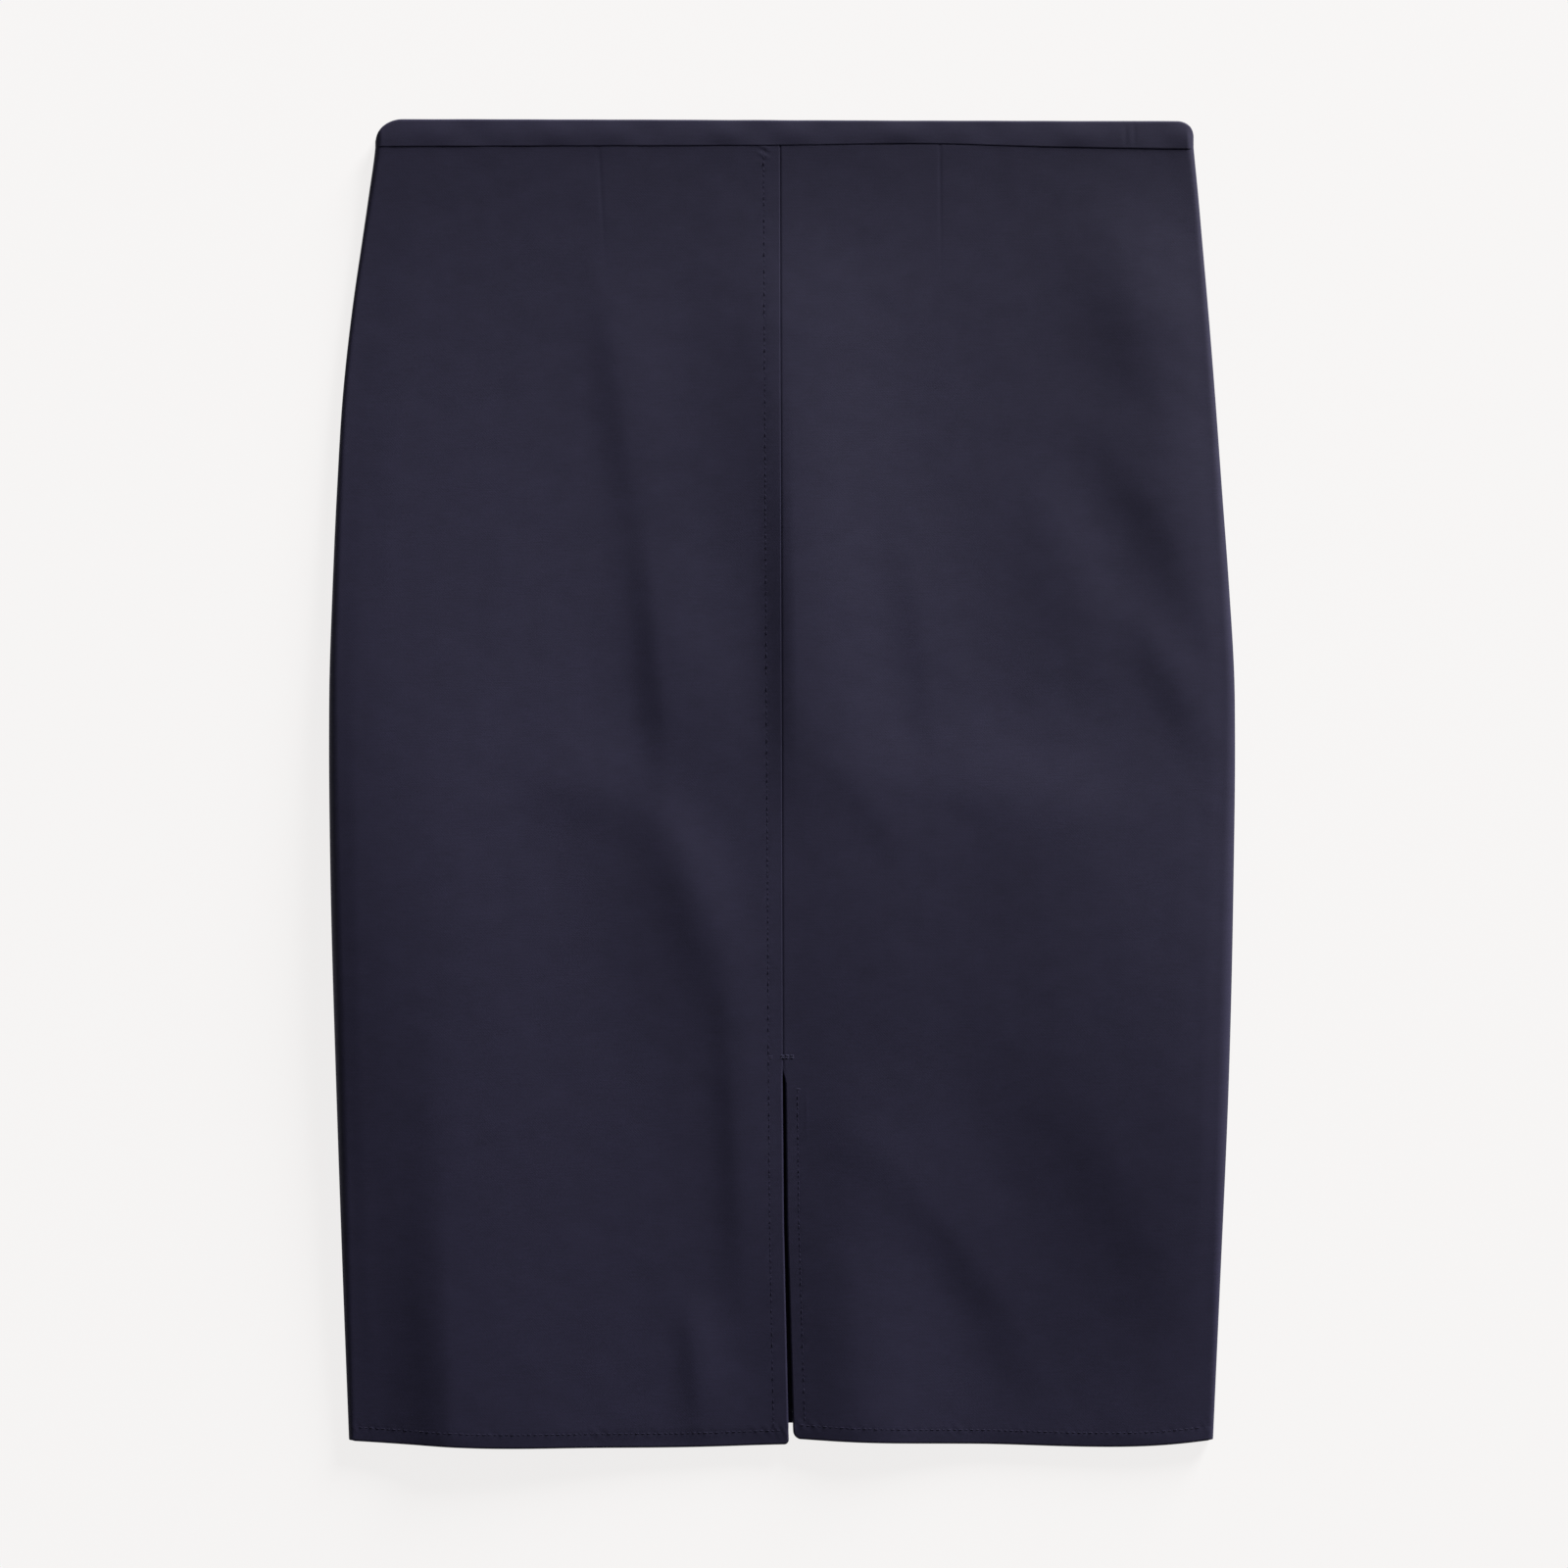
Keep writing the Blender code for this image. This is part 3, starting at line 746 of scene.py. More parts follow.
def shaped_panel(name, hand):
    """One upper panel. hand is -1 for the left one and 1 for the right one."""
    centre = centre_left if hand < 0 else centre_right
    side = side_left if hand < 0 else side_right
    hem = HEM_LEFT if hand < 0 else HEM_RIGHT
    corner = CORNER_ROUND_LEFT if hand < 0 else CORNER_ROUND_RIGHT
    breadth, way, past = panel_columns(hand)
    rows = crowded(-BAND_TUCK, SKIRT_FALL, ROW_CELL, (Spot(0, 4 * MM, FINE_CELL, 8 * MM), HEM_SPOT))[:, None]

    x = breadth * hand * way + 0 * rows
    for _ in range(GRID_SETTLES):
        low = hem_y(x, hem) + TURNED / 2
        y = band_seam_y(x) + (low - band_seam_y(x)) * rows / SKIRT_FALL
        inset = (edge_wall(y) if hand < 0 else CLOTH) / 2
        start = centre(y) + hand * (inset + corner_cut(y - low, corner))
        roll = edge_roll(y, hand)
        x = start + (side(y) - hand * roll - start) * way

    under = np.maximum(UNDER + ROLL - roll - CLOTH / 2, LEAST_UNDER)
    reach, rolled = round_edge(past, roll, under)
    z = np.where(past > 0, rolled, upper_height(x, y, hand))
    points = np.stack([x + hand * reach, y, z], axis=-1)
    flat = np.stack([x + hand * flat_run(past, roll), y], axis=-1)
    thick = panel_thickness(x - centre(y), y - low, y, past, hand)
    return wall(name, points, thick, flat, facing=(0, 0, 1))


cloth_left = shaped_panel("cloth_left", -1)
cloth_right = shaped_panel("cloth_right", 1)

# %% [markdown]
# ## The plain panel
#
# The lower side is cut in one piece and lies flat on the table, outer face down. It ends at the side seams,
# half a centimetre in from the folds, and its hem is pressed and stitched like the upper one. Its outer
# face may not stand below the table, so its grooves and threads lie inside its own thickness.

# %% Make the plain panel
PLAIN_CELL = 2.4 * MM
PLAIN_ROW_CELL = 3.2 * MM
PLAIN_GROOVE = 0.4 * MM
SIDE_SPOTS = tuple(Spot(at, 0.01, 0.003, 0.02) for at in (0, 1))     # in shares of the width


def plain_height(x, y):
    """The underside: flat, with a bell-shaped groove that holds the hem stitches."""
    return PLAIN_GROOVE * bell(y - plain_hem_y(x) - HEM_STITCH, GROOVE_WIDTH)


def plain_panel(name):
    """A grid from one side seam to the other, and from the waistband down to the plain hem."""
    inset = ROLL + UNDER + SEAM_GAP + CLOTH / 2
    breadth = 2 * side_right(SEAM_Y)
    way = crowded(0, 1, PLAIN_CELL / breadth, SIDE_SPOTS)[None, :]
    rows = crowded(0, SKIRT_FALL, PLAIN_ROW_CELL, (Spot(0, 2 * MM, FINE_CELL, 5 * MM), HEM_SPOT))[:, None]
    x = breadth * (way - 0.5) + 0 * rows
    for _ in range(GRID_SETTLES):
        high = band_seam_y(x) - SEAM_GAP - CLOTH / 2
        low = plain_hem_y(x) + TURNED / 2
        y = high + (low - high) * rows / SKIRT_FALL
        left = side_left(y) + inset
        x = left + (side_right(y) - inset - left) * way
    points = np.stack([x, y, plain_height(x, y)], axis=-1)
    thick = CLOTH + (TURNED - CLOTH) * turned(y - low)
    return wall(name, points, thick, np.stack([x, y], axis=-1), facing=(0, 0, -1))


plain_cloth = plain_panel("plain_cloth")

# %% [markdown]
# ## The waistband
#
# The band is a strip folded lengthwise. Pressed, it still bulges between its seam and its fold, so that its
# upper half looks up to the light and its lower half away from it. Near one end two upright creases show
# where the ends of the band meet over the closure.

# %% Edge and height of the waistband
BAND_PUFF = 0.18 * MM       # it bulges by this much along its middle
BAND_OVERLAP = 0.5 * MM     # its lower edge hangs a little over the seam
BAND_SLOPE = 0.9 * MM       # its upper edge falls this much from left to right
CORNER_LEFT = 13 * MM
CORNER_RIGHT = 8 * MM
RIPPLE = 0.10 * MM
LONG_RIPPLE = 9 * MM
LONG_RIPPLE_WANDER = 31 * MM
SHORT_RIPPLE = 4.3 * MM
SHORT_RIPPLE_SHARE = 0.7
BAND_CREASES = (161.0 * MM, 165.0 * MM)
BAND_CREASE_DEPTH = 0.10 * MM
BAND_CREASE_WIDTH = 1.2 * MM


def band_top_y(x):
    """Upper edge of the waistband: a fold that falls by a smooth step, less a round corner at each end."""
    left, right = side_left(SEAM_Y), side_right(SEAM_Y)
    straight = TOP_Y - BAND_SLOPE * smoothstep((x - left) / (right - left))
    return straight - corner_cut(x - left, CORNER_LEFT) - corner_cut(right - x, CORNER_RIGHT)


def band_height(x, row):
    """The upper strip: a half sine from its seam to its fold, with long ripples and the two creases."""
    ripple = np.sin(x / LONG_RIPPLE + 2 * np.sin(x / LONG_RIPPLE_WANDER))
    ripple = ripple + SHORT_RIPPLE_SHARE * np.sin(x / SHORT_RIPPLE + 1)
    crown = np.sin(np.pi * row)
    creases = sum(bell(x - crease, BAND_CREASE_WIDTH) for crease in BAND_CREASES)
    return BAND_REST + (BAND_PUFF + RIPPLE * ripple) * crown - BAND_CREASE_DEPTH * creases * crown


# %% Make the two strips of the waistband
BAND_CELL = 1.6 * MM
BAND_FINE_CELL = 0.6 * MM
BAND_ROWS = 26
PLAIN_BAND_DROP = 1.0 * MM  # the lower strip's fold stays hidden below the upper one's
PLAIN_BAND_COLUMNS = 200


def upper_strip(name):
    """The strip on the upper side, with both ends rolled over to the lower strip."""
    roll = BAND_REST / 2
    left, right = side_left(SEAM_Y) + roll, side_right(SEAM_Y) - roll
    ends = tuple(Spot(at, 9 * MM, BAND_FINE_CELL, 6 * MM) for at in (left, right))
    creases = Spot(BAND_CREASES[0], 8 * MM, BAND_FINE_CELL, 6 * MM)
    middle = crowded(left, right, BAND_CELL, (*ends, creases))
    past = np.concatenate([PAST_EDGE[::-1], np.zeros(len(middle)), PAST_EDGE])[None, :]
    end = np.ones(len(PAST_EDGE))
    before = np.concatenate([left * end, middle, right * end])[None, :]
    row = np.linspace(0, 1, BAND_ROWS + 1)[:, None]
    reach, rolled = round_edge(past, roll, UNDER - BAND_WALL / 2)
    hand = np.sign(before)
    x = before + hand * reach + 0 * row
    low = band_seam_y(x) - BAND_OVERLAP + BAND_WALL / 2
    y = low + (band_top_y(x) - BAND_WALL / 2 - low) * row
    z = np.where(past > 0, rolled, band_height(x, row))
    flat = np.stack([before + hand * flat_run(past, roll) + 0 * row, y], axis=-1)
    return wall(name, np.stack([x, y, z], axis=-1), np.full(y.shape, BAND_WALL), flat, facing=(0, 0, 1))


def lower_strip(name):
    """The strip on the lower side, flat on the table between the rolled ends of the upper strip."""
    inset = BAND_REST / 2 + UNDER + SEAM_GAP + BAND_WALL / 2
    across = np.linspace(side_left(SEAM_Y) + inset, side_right(SEAM_Y) - inset, PLAIN_BAND_COLUMNS)[None, :]
    row = np.linspace(0, 1, BAND_ROWS // 2 + 1)[:, None]
    low = band_seam_y(across) + BAND_WALL / 2
    y = low + (band_top_y(across) - PLAIN_BAND_DROP - BAND_WALL / 2 - low) * row
    x = across + 0 * row
    flat = np.stack([x, y], axis=-1)
    return wall(name, np.stack([x, y, 0 * x], axis=-1), np.full(y.shape, BAND_WALL), flat, facing=(0, 0, -1))


band_upper = upper_strip("band_upper")
band_lower = lower_strip("band_lower")

# %% [markdown]
# ## The stitches
#
# Each stitch is a short arched thread whose ends dive into the cloth. A curve with a round bevel could be
# each of them, but there are hundreds. So one function makes a whole line in one mesh: it takes the middle,
# direction and normal of every stitch as arrays, and bends the same small tube to each.

# %% One line of stitches
STITCH_PITCH = 2.65 * MM
STITCH_LENGTH = 2.15 * MM
THREAD = 0.26 * MM
THREAD_SIDES = 6            # the caps below close a tube of six sides
THREAD_RINGS = 7
ARCH_TOP = 0.20             # the arch's middle lies this high over the cloth, in threads
ARCH_FALL = 0.60            # and its ends this much lower
TAPER = 0.9                 # how much of its section the tube loses at its ends
SLOPE_STEP = 0.7 * MM       # the slope under a stitch is read this far to each side


def spread(vectors):
    """Vectors with two more axes in between, for the rings of a tube and its sides."""
    return vectors[:, None, None, :]


def thread_line(name, middle, direction, normal, length=STITCH_LENGTH):
    """Arched tubes, one for each middle point: the arch is a parabola, the tube narrows to its two ends."""
    direction, normal = unit(direction), unit(normal)
    sideways = np.cross(direction, normal)
    along = np.linspace(-1, 1, THREAD_RINGS)[None, :, None, None]
    angle = (2 * np.pi * np.arange(THREAD_SIDES) / THREAD_SIDES)[None, None, :, None]
    radius = THREAD / 2 * np.sqrt(1 - TAPER * along**6)
    lift = THREAD * (ARCH_TOP - ARCH_FALL * along**2)
    places = (
        spread(middle)
        + spread(direction) * along * length / 2
        + spread(normal) * (lift + radius * np.sin(angle))
        + spread(sideways) * radius * np.cos(angle)
    )
    count = len(middle)
    index = np.arange(count * THREAD_RINGS * THREAD_SIDES).reshape(count, THREAD_RINGS, THREAD_SIDES)
    turned_on = np.roll(index, -1, axis=2)
    skin = quads(index[:, :-1], index[:, 1:], turned_on[:, 1:], turned_on[:, :-1])
    caps = [ring[:, order] for ring, order in ((index[:, 0], (0, 1, 2, 3)), (index[:, 0], (0, 3, 4, 5)))]
    caps += [ring[:, order] for ring, order in ((index[:, -1], (3, 2, 1, 0)), (index[:, -1], (5, 4, 3, 0)))]
    faces = np.concatenate([skin, *caps])
    pattern = np.stack(np.broadcast_arrays(along * length, angle * THREAD / 2), axis=-1)
    pattern = np.broadcast_to(pattern[:, :, :, 0, :], (count, THREAD_RINGS, THREAD_SIDES, 2)).reshape(-1, 2)
    return mesh_object(name, places.reshape(-1, 3), faces, pattern)


def equally_spaced(x, y, pitch=STITCH_PITCH):
    """Points a pitch apart along a line that is given finely, and the line's direction at each."""
    run = np.concatenate([[0], np.cumsum(np.hypot(np.diff(x), np.diff(y)))])
    at = np.arange(pitch / 2, run[-1] - pitch / 3, pitch)
    along = np.stack([np.interp(at, run, x), np.interp(at, run, y)], axis=-1)
    ahead = np.stack([np.interp(at + pitch / 4, run, x), np.interp(at + pitch / 4, run, y)], axis=-1)
    behind = np.stack([np.interp(at - pitch / 4, run, x), np.interp(at - pitch / 4, run, y)], axis=-1)
    return along, ahead - behind


def sewn_on_top(name, x, y, hand):
    """A line of stitches on an upper panel, leant by the slope between the heights on both sides."""
    near, flat_way = equally_spaced(x, y)
    px, py = near[:, 0], near[:, 1]
    right, left = upper_height(px + SLOPE_STEP, py, hand), upper_height(px - SLOPE_STEP, py, hand)
    upper, lower = upper_height(px, py + SLOPE_STEP, hand), upper_height(px, py - SLOPE_STEP, hand)
    slope_x = (right - left) / (2 * SLOPE_STEP)
    slope_y = (upper - lower) / (2 * SLOPE_STEP)
    normal = np.stack([-slope_x, -slope_y, np.ones_like(px)], axis=-1)
    rise = flat_way[:, 0] * slope_x + flat_way[:, 1] * slope_y
    middle = np.stack([px, py, upper_height(px, py, hand)], axis=-1)
    return thread_line(name, middle, np.column_stack([flat_way, rise]), normal)


# %% [markdown]
# The long lines are sewn next: down the centre seam and on along the slit's left edge, down its right edge,
# and along both hems. The lines that come down end on the hem's line, and the hem's lines stop a little
# short of the edges. Every line is sampled finely first, and `equally_spaced` then takes the stitches from
# it.

# %% Sew the lines
BAND_MARGIN = 1.5 * MM
HEM_MARGIN = 2.5 * MM
LINE_POINTS = 1500
LEFT_OF_SLIT = -5 * MM      # the hem's height is read here for the lines that come down to it
RIGHT_OF_SLIT = 10 * MM


def between(start, end):
    """Values from start to end in small, equal steps."""
    return np.linspace(start, end, LINE_POINTS)


seam_y = between(SEAM_Y - BAND_MARGIN, hem_y(LEFT_OF_SLIT, HEM_LEFT) + HEM_STITCH)
seam_stitches = sewn_on_top("seam_stitches", seam_stitch_x(seam_y), seam_y, -1)

slit_y = between(SEAM_Y - SLIT_STITCH_TOP, hem_y(RIGHT_OF_SLIT, HEM_RIGHT) + HEM_STITCH)
slit_stitches = sewn_on_top("slit_stitches", slit_stitch_x(slit_y), slit_y, 1)

hem_x = between(side_left(cad_low.y) + ROLL + HEM_MARGIN, centre_left(cad_low.y) - HEM_MARGIN)
hem_stitches_left = sewn_on_top("hem_stitches_left", hem_x, hem_y(hem_x, HEM_LEFT) + HEM_STITCH, -1)

hem_x = between(centre_right(cad_low.y) + HEM_MARGIN, side_right(cad_low.y) - ROLL - HEM_MARGIN)
hem_stitches_right = sewn_on_top("hem_stitches_right", hem_x, hem_y(hem_x, HEM_RIGHT) + HEM_STITCH, 1)

# %% [markdown]
# The top of a slit takes all the strain of walking, so it is secured. Here a few stitches run across the
# seam, back and forth, and a short bar turns the corner where the slit's right topstitch begins.

# %% The bar tack and the corner of the slit
TACK_BELOW = 426.3 * MM
TACK_LEFT = -1.1 * MM
TACK_RIGHT = 7.2 * MM
TACK_ROWS = (-0.5 * MM, 0.1 * MM, 0.7 * MM)
TACK_END_LEFT = -6.4 * MM
TACK_END_RIGHT = -3.9 * MM
TACK_END_ROWS = (0, 0.9 * MM)
TACK_PITCH = 2.3 * MM
TACK_STITCH = 2.2 * MM
CORNER_BAR_LAP = 0.8 * MM
CORNER_BAR_RIGHT = 10.6 * MM


def tack(name, x_from, x_to, belows, hands=(-1, 1)):
    """Rows of close stitches one above the other, on the higher one of the panels that hands names."""
    x = between(x_from, x_to)
    rows = [equally_spaced(x, 0 * x + SEAM_Y - below, TACK_PITCH) for below in belows]
    near = np.concatenate([row[0] for row in rows])
    way = np.concatenate([row[1] for row in rows])
    height = np.max([upper_height(near[:, 0], near[:, 1], hand) for hand in hands], axis=0)
    middle = np.column_stack([near, height])
    normal = np.zeros_like(middle) + (0, 0, 1)
    return thread_line(name, middle, np.column_stack([way, 0 * height]), normal, TACK_STITCH)


bar_tack = tack("bar_tack", TACK_LEFT, TACK_RIGHT, [TACK_BELOW + row for row in TACK_ROWS])
tack_end = tack("tack_end", TACK_END_LEFT, TACK_END_RIGHT, [TACK_BELOW + row for row in TACK_END_ROWS])
corner_x = float(slit_stitch_x(SEAM_Y - SLIT_STITCH_TOP))
corner_bar = tack("corner_bar", corner_x - CORNER_BAR_LAP, CORNER_BAR_RIGHT, [SLIT_STITCH_TOP], hands=(1,))

# %% [markdown]
# The plain panel's hem is sewn from below. Its stitches look down, and they lie in the groove that was
# pressed for them, so that nothing stands out under the skirt.

# %% The hem of the plain panel
PLAIN_MARGIN = 8 * MM
plain_x = between(side_left(cad_low.y) + PLAIN_MARGIN, side_right(cad_low.y) - PLAIN_MARGIN)
near, way = equally_spaced(plain_x, plain_hem_y(plain_x) + HEM_STITCH)
middle = np.column_stack([near, np.full(len(near), PLAIN_GROOVE)])
downwards = np.zeros_like(middle) + (0, 0, -1)
plain_stitches = thread_line("plain_stitches", middle, np.column_stack([way, 0 * way[:, 0]]), downwards)

# %% [markdown]
# ## Shader maths
#
# A material is a small calculation. Written with operators it can be read like one: `Amount` wraps a
# socket, and every sum or product on it adds a Math node. `Recipe.add` makes any other node from its type,
# its settings and the values of its sockets.

# %% Write shaders as sums
class Amount:
    """A number that varies over the cloth. Each operator adds one Math node."""

    def __init__(self, recipe, socket):
        self.recipe = recipe
        self.socket = socket

    def maths(self, operation, first, second):
        """The result of one Math node as a new amount."""
        node = self.recipe.add("ShaderNodeMath", {"operation": operation}, {0: first, 1: second})
        return Amount(self.recipe, node.outputs[0])

    def __add__(self, other):
        return self.maths("ADD", self, other)

    def __sub__(self, other):
        return self.maths("SUBTRACT", self, other)

    def __rsub__(self, other):
        return self.maths("SUBTRACT", other, self)

    def __mul__(self, other):
        return self.maths("MULTIPLY", self, other)

    __radd__ = __add__
    __rmul__ = __mul__

    def sine(self):
        """The sine of the amount, in radians."""
        return self.maths("SINE", self, 0.0)


class Recipe:
    """A material, and the methods that add nodes to it and fill in their sockets."""

    def __init__(self, name):
        self.material = bpy.data.materials.new(name)
        self.material.use_nodes = True
        self.tree = self.material.node_tree
        self.shader = self.tree.nodes["Principled BSDF"]

    def add(self, kind, settings, sockets):
        """A new node of one kind: its settings first, then the values or links of its sockets."""
        node = self.tree.nodes.new(kind)
        for key, value in settings.items():
            setattr(node, key, value)
        self.fill(node, sockets)
        return node

    def fill(self, node, sockets):
        """Link each socket to an amount or an output, or set it to a plain value."""
        for key, value in sockets.items():
            value = value.socket if isinstance(value, Amount) else value
            if isinstance(value, bpy.types.NodeSocket):
                self.tree.links.new(value, node.inputs[key])
            else:
                node.inputs[key].default_value = value

    def flat_place(self):
        """The place on the flat pattern, as one vector and as its two amounts."""
        place = self.add("ShaderNodeUVMap", {"uv_map": "flat cloth"}, {}).outputs[0]
        split = self.add("ShaderNodeSeparateXYZ", {}, {0: place})
        return place, Amount(self, split.outputs[0]), Amount(self, split.outputs[1])

    def noise(self, place, size, detail=2.0):
        """Noise from 0 to 1 whose lumps have the width and height given, in metres."""
        scale = (1 / size[0], 1 / size[1], 1)
        stretched = self.add("ShaderNodeMapping", {}, {"Vector": place, "Scale": scale}).outputs[0]
        node = self.add("ShaderNodeTexNoise", {}, {"Vector": stretched, "Scale": 1.0, "Detail": detail})
        return Amount(self, node.outputs[0])


# %% [markdown]
# ## The suiting
#
# The cloth is a smooth dark navy worsted. Close up, yarns run across it in fine lines, some a touch lighter
# than others. From a step away only a soft mottle is left, where the cloth has been handled. A picture of
# cloth could be laid on the panels, but it would repeat and blur. Here four sizes of noise mix the two
# navies, and two sines that cross are the weave. All of it is laid out on the flat pattern, the piece's own
# UV map in metres, so the yarns follow the cloth round its edges.

# %% Make the suiting
NAVY_DARK = (0.0111, 0.0098, 0.0288, 1)
NAVY_LIGHT = (0.0181, 0.0162, 0.0446, 1)
SLUB = (9 * MM, 0.55 * MM)
MOTTLE = (11 * MM, 9 * MM)
HANDLED = (60 * MM, 80 * MM)
FIBRE = (0.8 * MM, 0.5 * MM)
DARKEST = 0.34              # the sum of the noises that gives the dark navy
LIGHTEST = 0.66             # and the one that gives the light navy
YARN = 0.36 * MM
WEAVE_DEPTH = 0.05 * MM
WEAVE_STRENGTH = 0.35
CLOTH_ROUGHNESS = 0.76
CLOTH_SPECULAR = 0.30


def suiting(name):
    """Navy worsted: a weighted sum of noises for the colour, warp times weft for the relief."""
    recipe = Recipe(name)
    place, across, up = recipe.flat_place()
    slubs = recipe.noise(place, SLUB, 3)
    mottle = recipe.noise(place, MOTTLE, 3)
    handled = recipe.noise(place, HANDLED, 2)
    fibres = recipe.noise(place, FIBRE, 1)
    lightness = 0.34 * slubs + 0.20 * mottle + 0.10 * handled + 0.36 * fibres
    ramp = recipe.add("ShaderNodeMapRange", {}, {0: lightness, 1: DARKEST, 2: LIGHTEST})
    colour = recipe.add(
        "ShaderNodeMix",
        {"data_type": "RGBA"},
        {"Factor": Amount(recipe, ramp.outputs[0]), 6: NAVY_DARK, 7: NAVY_LIGHT},
    )

    weft = (up * (np.pi / YARN)).sine()
    warp = (across * (np.pi / YARN)).sine()
    relief = {"Height": weft * warp + 0.8 * slubs, "Strength": WEAVE_STRENGTH, "Distance": WEAVE_DEPTH}
    bump = recipe.add("ShaderNodeBump", {}, relief)
    recipe.fill(recipe.shader, {
        "Base Color": colour.outputs[2],
        "Roughness": CLOTH_ROUGHNESS - 0.10 * (mottle - 0.5),
        "Normal": bump.outputs[0],
        "Specular IOR Level": CLOTH_SPECULAR,
    })
    return recipe.material


# %% [markdown]
# ## The thread
#
# Polyester thread has a soft gloss, and its navy is a little lighter than the cloth: partly its own colour,
# partly a painted highlight for the light that the stitches catch. Its twist is a sine that runs along the
# tube and round it at once. The tacks are sewn back and forth, and their thread is lighter still: painted
# highlight.

# %% Make the threads
# the thread's own navy, made a little lighter as a painted highlight for the light that the stitches catch
THREAD_NAVY_WITH_PAINTED_HIGHLIGHT = (0.021, 0.019, 0.045, 1)
# the thread's navy made lighter still: painted highlight where the doubled thread catches more light
TACK_NAVY_PAINTED_HIGHLIGHT = (0.042, 0.040, 0.078, 1)
TWIST = 0.45 * MM
TWIST_DEPTH = 0.05 * MM
TWIST_STRENGTH = 0.4
THREAD_ROUGHNESS = 0.62
THREAD_SPECULAR = 0.16


def sewing_thread(name, colour):
    """Thread of one colour, with a slanting sine as its twist."""
    recipe = Recipe(name)
    _, along, around = recipe.flat_place()
    twist = ((along + around) * (2 * np.pi / TWIST)).sine()
    relief = {"Height": twist, "Strength": TWIST_STRENGTH, "Distance": TWIST_DEPTH}
    bump = recipe.add("ShaderNodeBump", {}, relief)
    recipe.fill(recipe.shader, {
        "Base Color": colour,
        "Roughness": THREAD_ROUGHNESS,
        "Normal": bump.outputs[0],
        "Specular IOR Level": THREAD_SPECULAR,
    })
    return recipe.material


navy_suiting = suiting("navy suiting")
navy_thread = sewing_thread("navy thread", THREAD_NAVY_WITH_PAINTED_HIGHLIGHT)
tack_thread_painted_highlight = sewing_thread("tack thread painted highlight", TACK_NAVY_PAINTED_HIGHLIGHT)
print("materials:", [material.name for material in (navy_suiting, navy_thread, tack_thread_painted_highlight)])

# %% [markdown]
# ## Put the skirt together
#
# Nothing on a skirt that lies still moves by itself, so every piece rides on the one body. Each cloth piece
# stands for one piece of the frame, which is then hidden.

# %% Ride and replace
cloths = {
    "seamed_panel_left": cloth_left,
    "seamed_panel_right": cloth_right,
    "plain_panel": plain_cloth,
    "waistband_seamed_side": band_upper,
    "waistband_plain_side": band_lower,
}
threads = (seam_stitches, slit_stitches, hem_stitches_left, hem_stitches_right, plain_stitches)
tacks = (bar_tack, tack_end, corner_bar)
for node, piece in cloths.items():
    piece.data.materials.append(navy_suiting)
    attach(piece, "root")
    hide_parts(node)
for piece in threads + tacks:
    # the tacks take the thread with the painted highlight
    piece.data.materials.append(tack_thread_painted_highlight if piece in tacks else navy_thread)
    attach(piece, "root")

half_width = float(side_right(WIDEST_Y)) + UNDER
band_width = float(side_right(SEAM_Y) - side_left(SEAM_Y))

# %% [markdown]
# ## Table, light and camera
#
# The skirt lies on a pale table and is seen from straight above. One large soft light stands low at the
# upper right, so that the shallow folds show. A lamp overhead would make them vanish, and a small one would
# cut them hard. The room gives an even fill. The table shines a little by itself, which keeps it as pale as
# paper and its shadows faint.

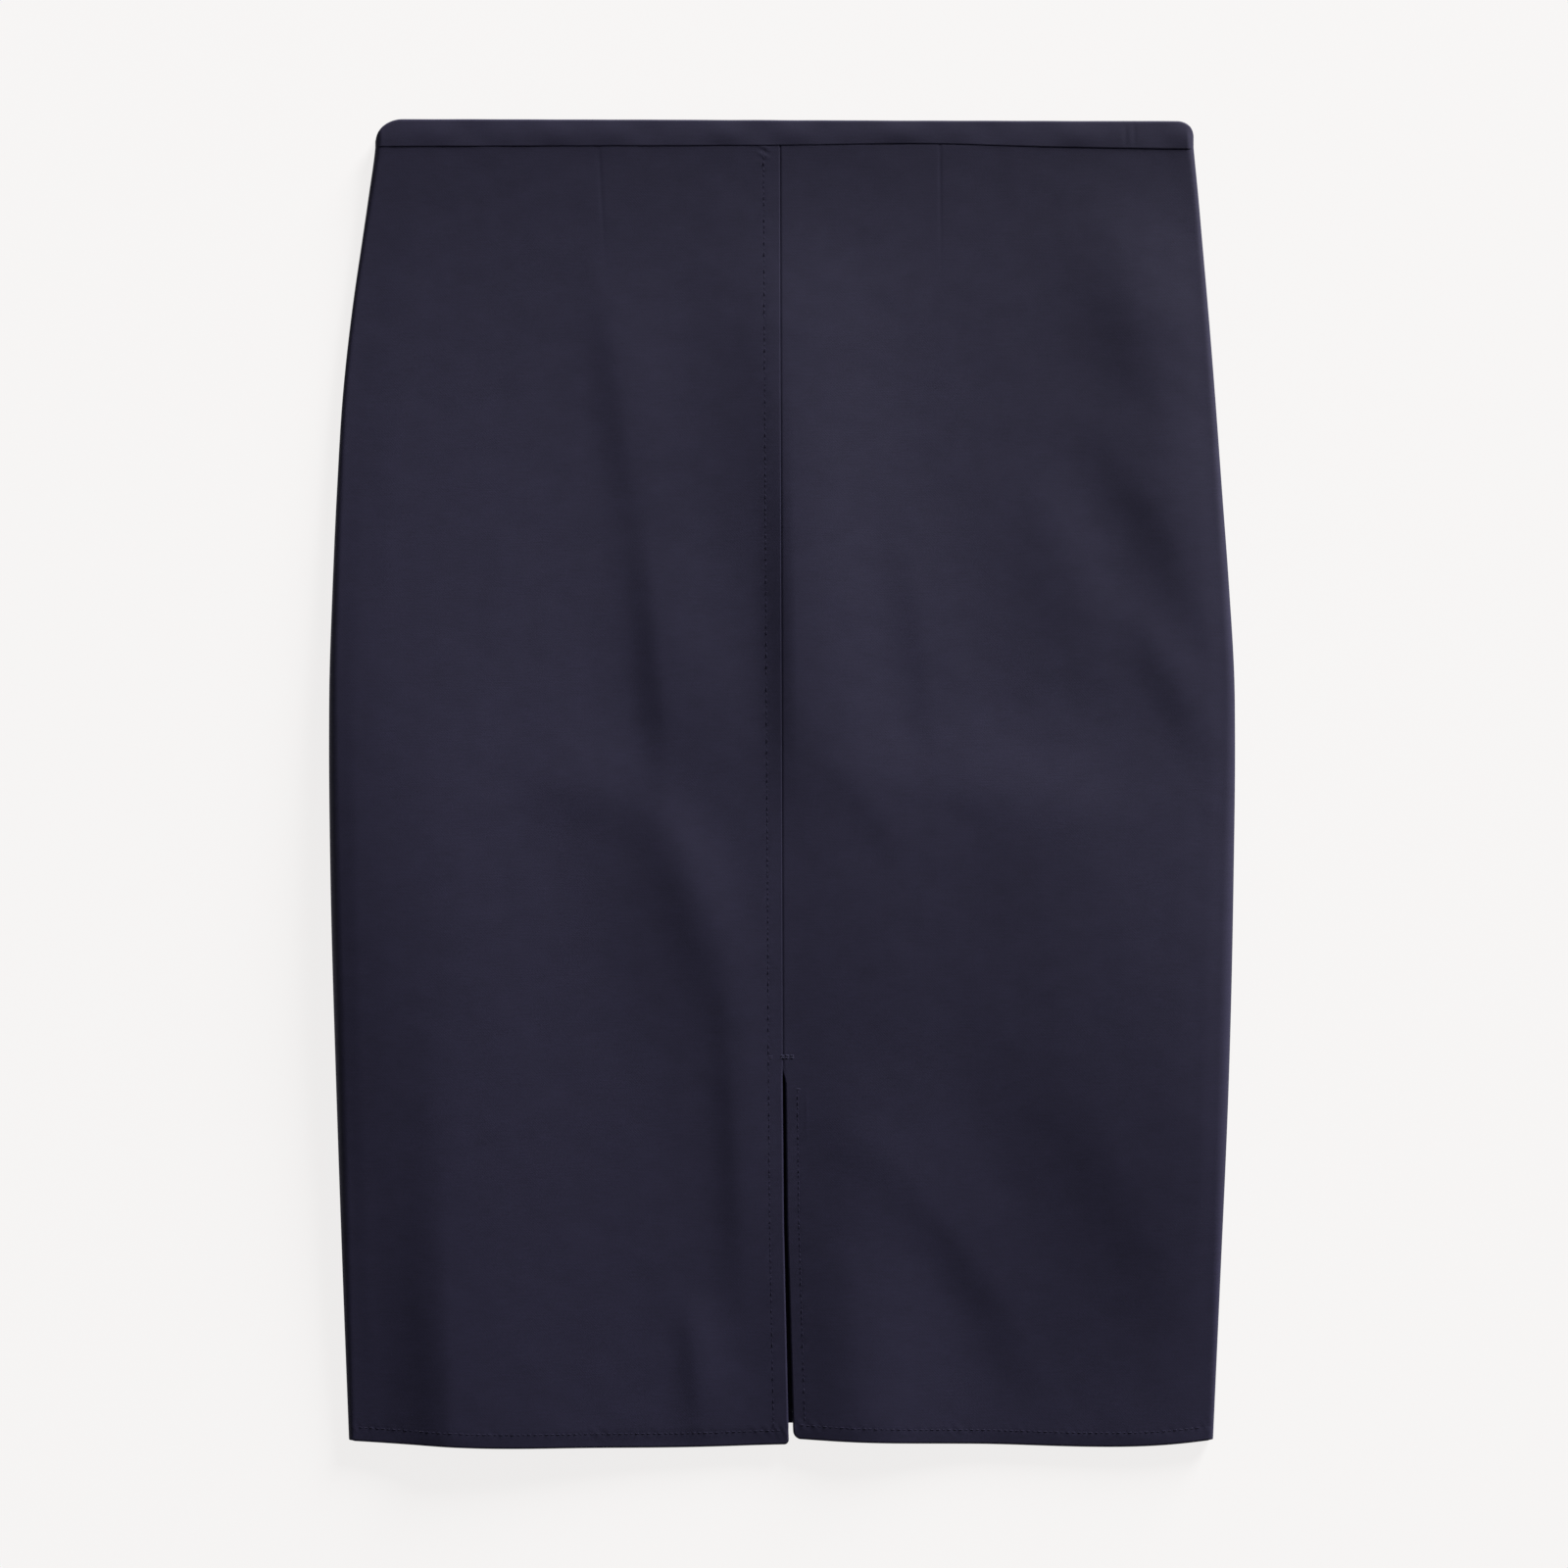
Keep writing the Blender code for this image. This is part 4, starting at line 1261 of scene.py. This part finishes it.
# %% The pale table
FLOOR_HALF = 14.0
FLOOR_GREY = (0.12, 0.12, 0.12, 1)
FLOOR_GLOW = (0.835, 0.822, 0.816, 1)
FLOOR_SINK = 0.2 * MM       # the table stays this far below the cloth, so that they don't flicker
corners = [(x * FLOOR_HALF, y * FLOOR_HALF, -FLOOR_SINK) for x, y in ((-1, -1), (1, -1), (1, 1), (-1, 1))]
mesh = bpy.data.meshes.new("table_top")
mesh.from_pydata(corners, [], [(0, 1, 2, 3)])
table_top = bpy.data.objects.new("table_top", mesh)
bpy.context.scene.collection.objects.link(table_top)
paper = Recipe("pale paper")
paper.fill(paper.shader, {
    "Base Color": FLOOR_GREY,
    "Roughness": 0.9,
    "Specular IOR Level": 0.0,
    "Emission Color": FLOOR_GLOW,
    "Emission Strength": 1.0,
})
mesh.materials.append(paper.material)

# %% The soft light
LIGHT_DISTANCE = 14.0
LIGHT_AZIMUTH = 58
LIGHT_ELEVATION = 12.2
LIGHT_SIZE = 4.8
LIGHT_POWER = 6280.0
LIGHT_COLOUR = (1.0, 0.985, 0.975)


def towards(azimuth, elevation):
    """Unit vector: azimuth in degrees from +X towards +Y, elevation above the table."""
    a, e = np.radians(azimuth), np.radians(elevation)
    return Vector((np.cos(e) * np.cos(a), np.cos(e) * np.sin(a), np.sin(e)))


key = bpy.data.lights.new("key", "AREA")
key.shape = "SQUARE"
key.size = LIGHT_SIZE
key.energy = LIGHT_POWER
key.color = LIGHT_COLOUR
key_light = bpy.data.objects.new("key", key)
key_light.location = towards(LIGHT_AZIMUTH, LIGHT_ELEVATION) * LIGHT_DISTANCE
key_light.rotation_euler = key_light.location.to_track_quat("Z", "Y").to_euler()
bpy.context.scene.collection.objects.link(key_light)

# %% The fill of the room
ROOM_FILL = 0.11
ROOM_COLOUR = (0.96, 0.97, 1.0, 1)
room = bpy.data.worlds.new("room")
room.use_nodes = True
background = room.node_tree.nodes["Background"]
background.inputs["Color"].default_value = ROOM_COLOUR
background.inputs["Strength"].default_value = ROOM_FILL
bpy.context.scene.world = room

# %% The camera straight above
LENS = 85                   # both in millimetres, as a camera gives them
SENSOR = 36
FRAME_WIDTH = 736 * MM      # what the picture takes in across the skirt
CAMERA_X = 0.9 * MM
CAMERA_Y = -0.2 * MM
NEAREST = 0.05
FARTHEST = 60
lens = bpy.data.cameras.new("camera")
lens.lens = LENS
lens.sensor_width = SENSOR
lens.clip_start = NEAREST
lens.clip_end = FARTHEST
camera = bpy.data.objects.new("camera", lens)
camera.location = (CAMERA_X, CAMERA_Y, REST + FRAME_WIDTH * LENS / SENSOR)
bpy.context.scene.collection.objects.link(camera)
bpy.context.scene.camera = camera
bpy.context.scene.view_settings.view_transform = "Standard"
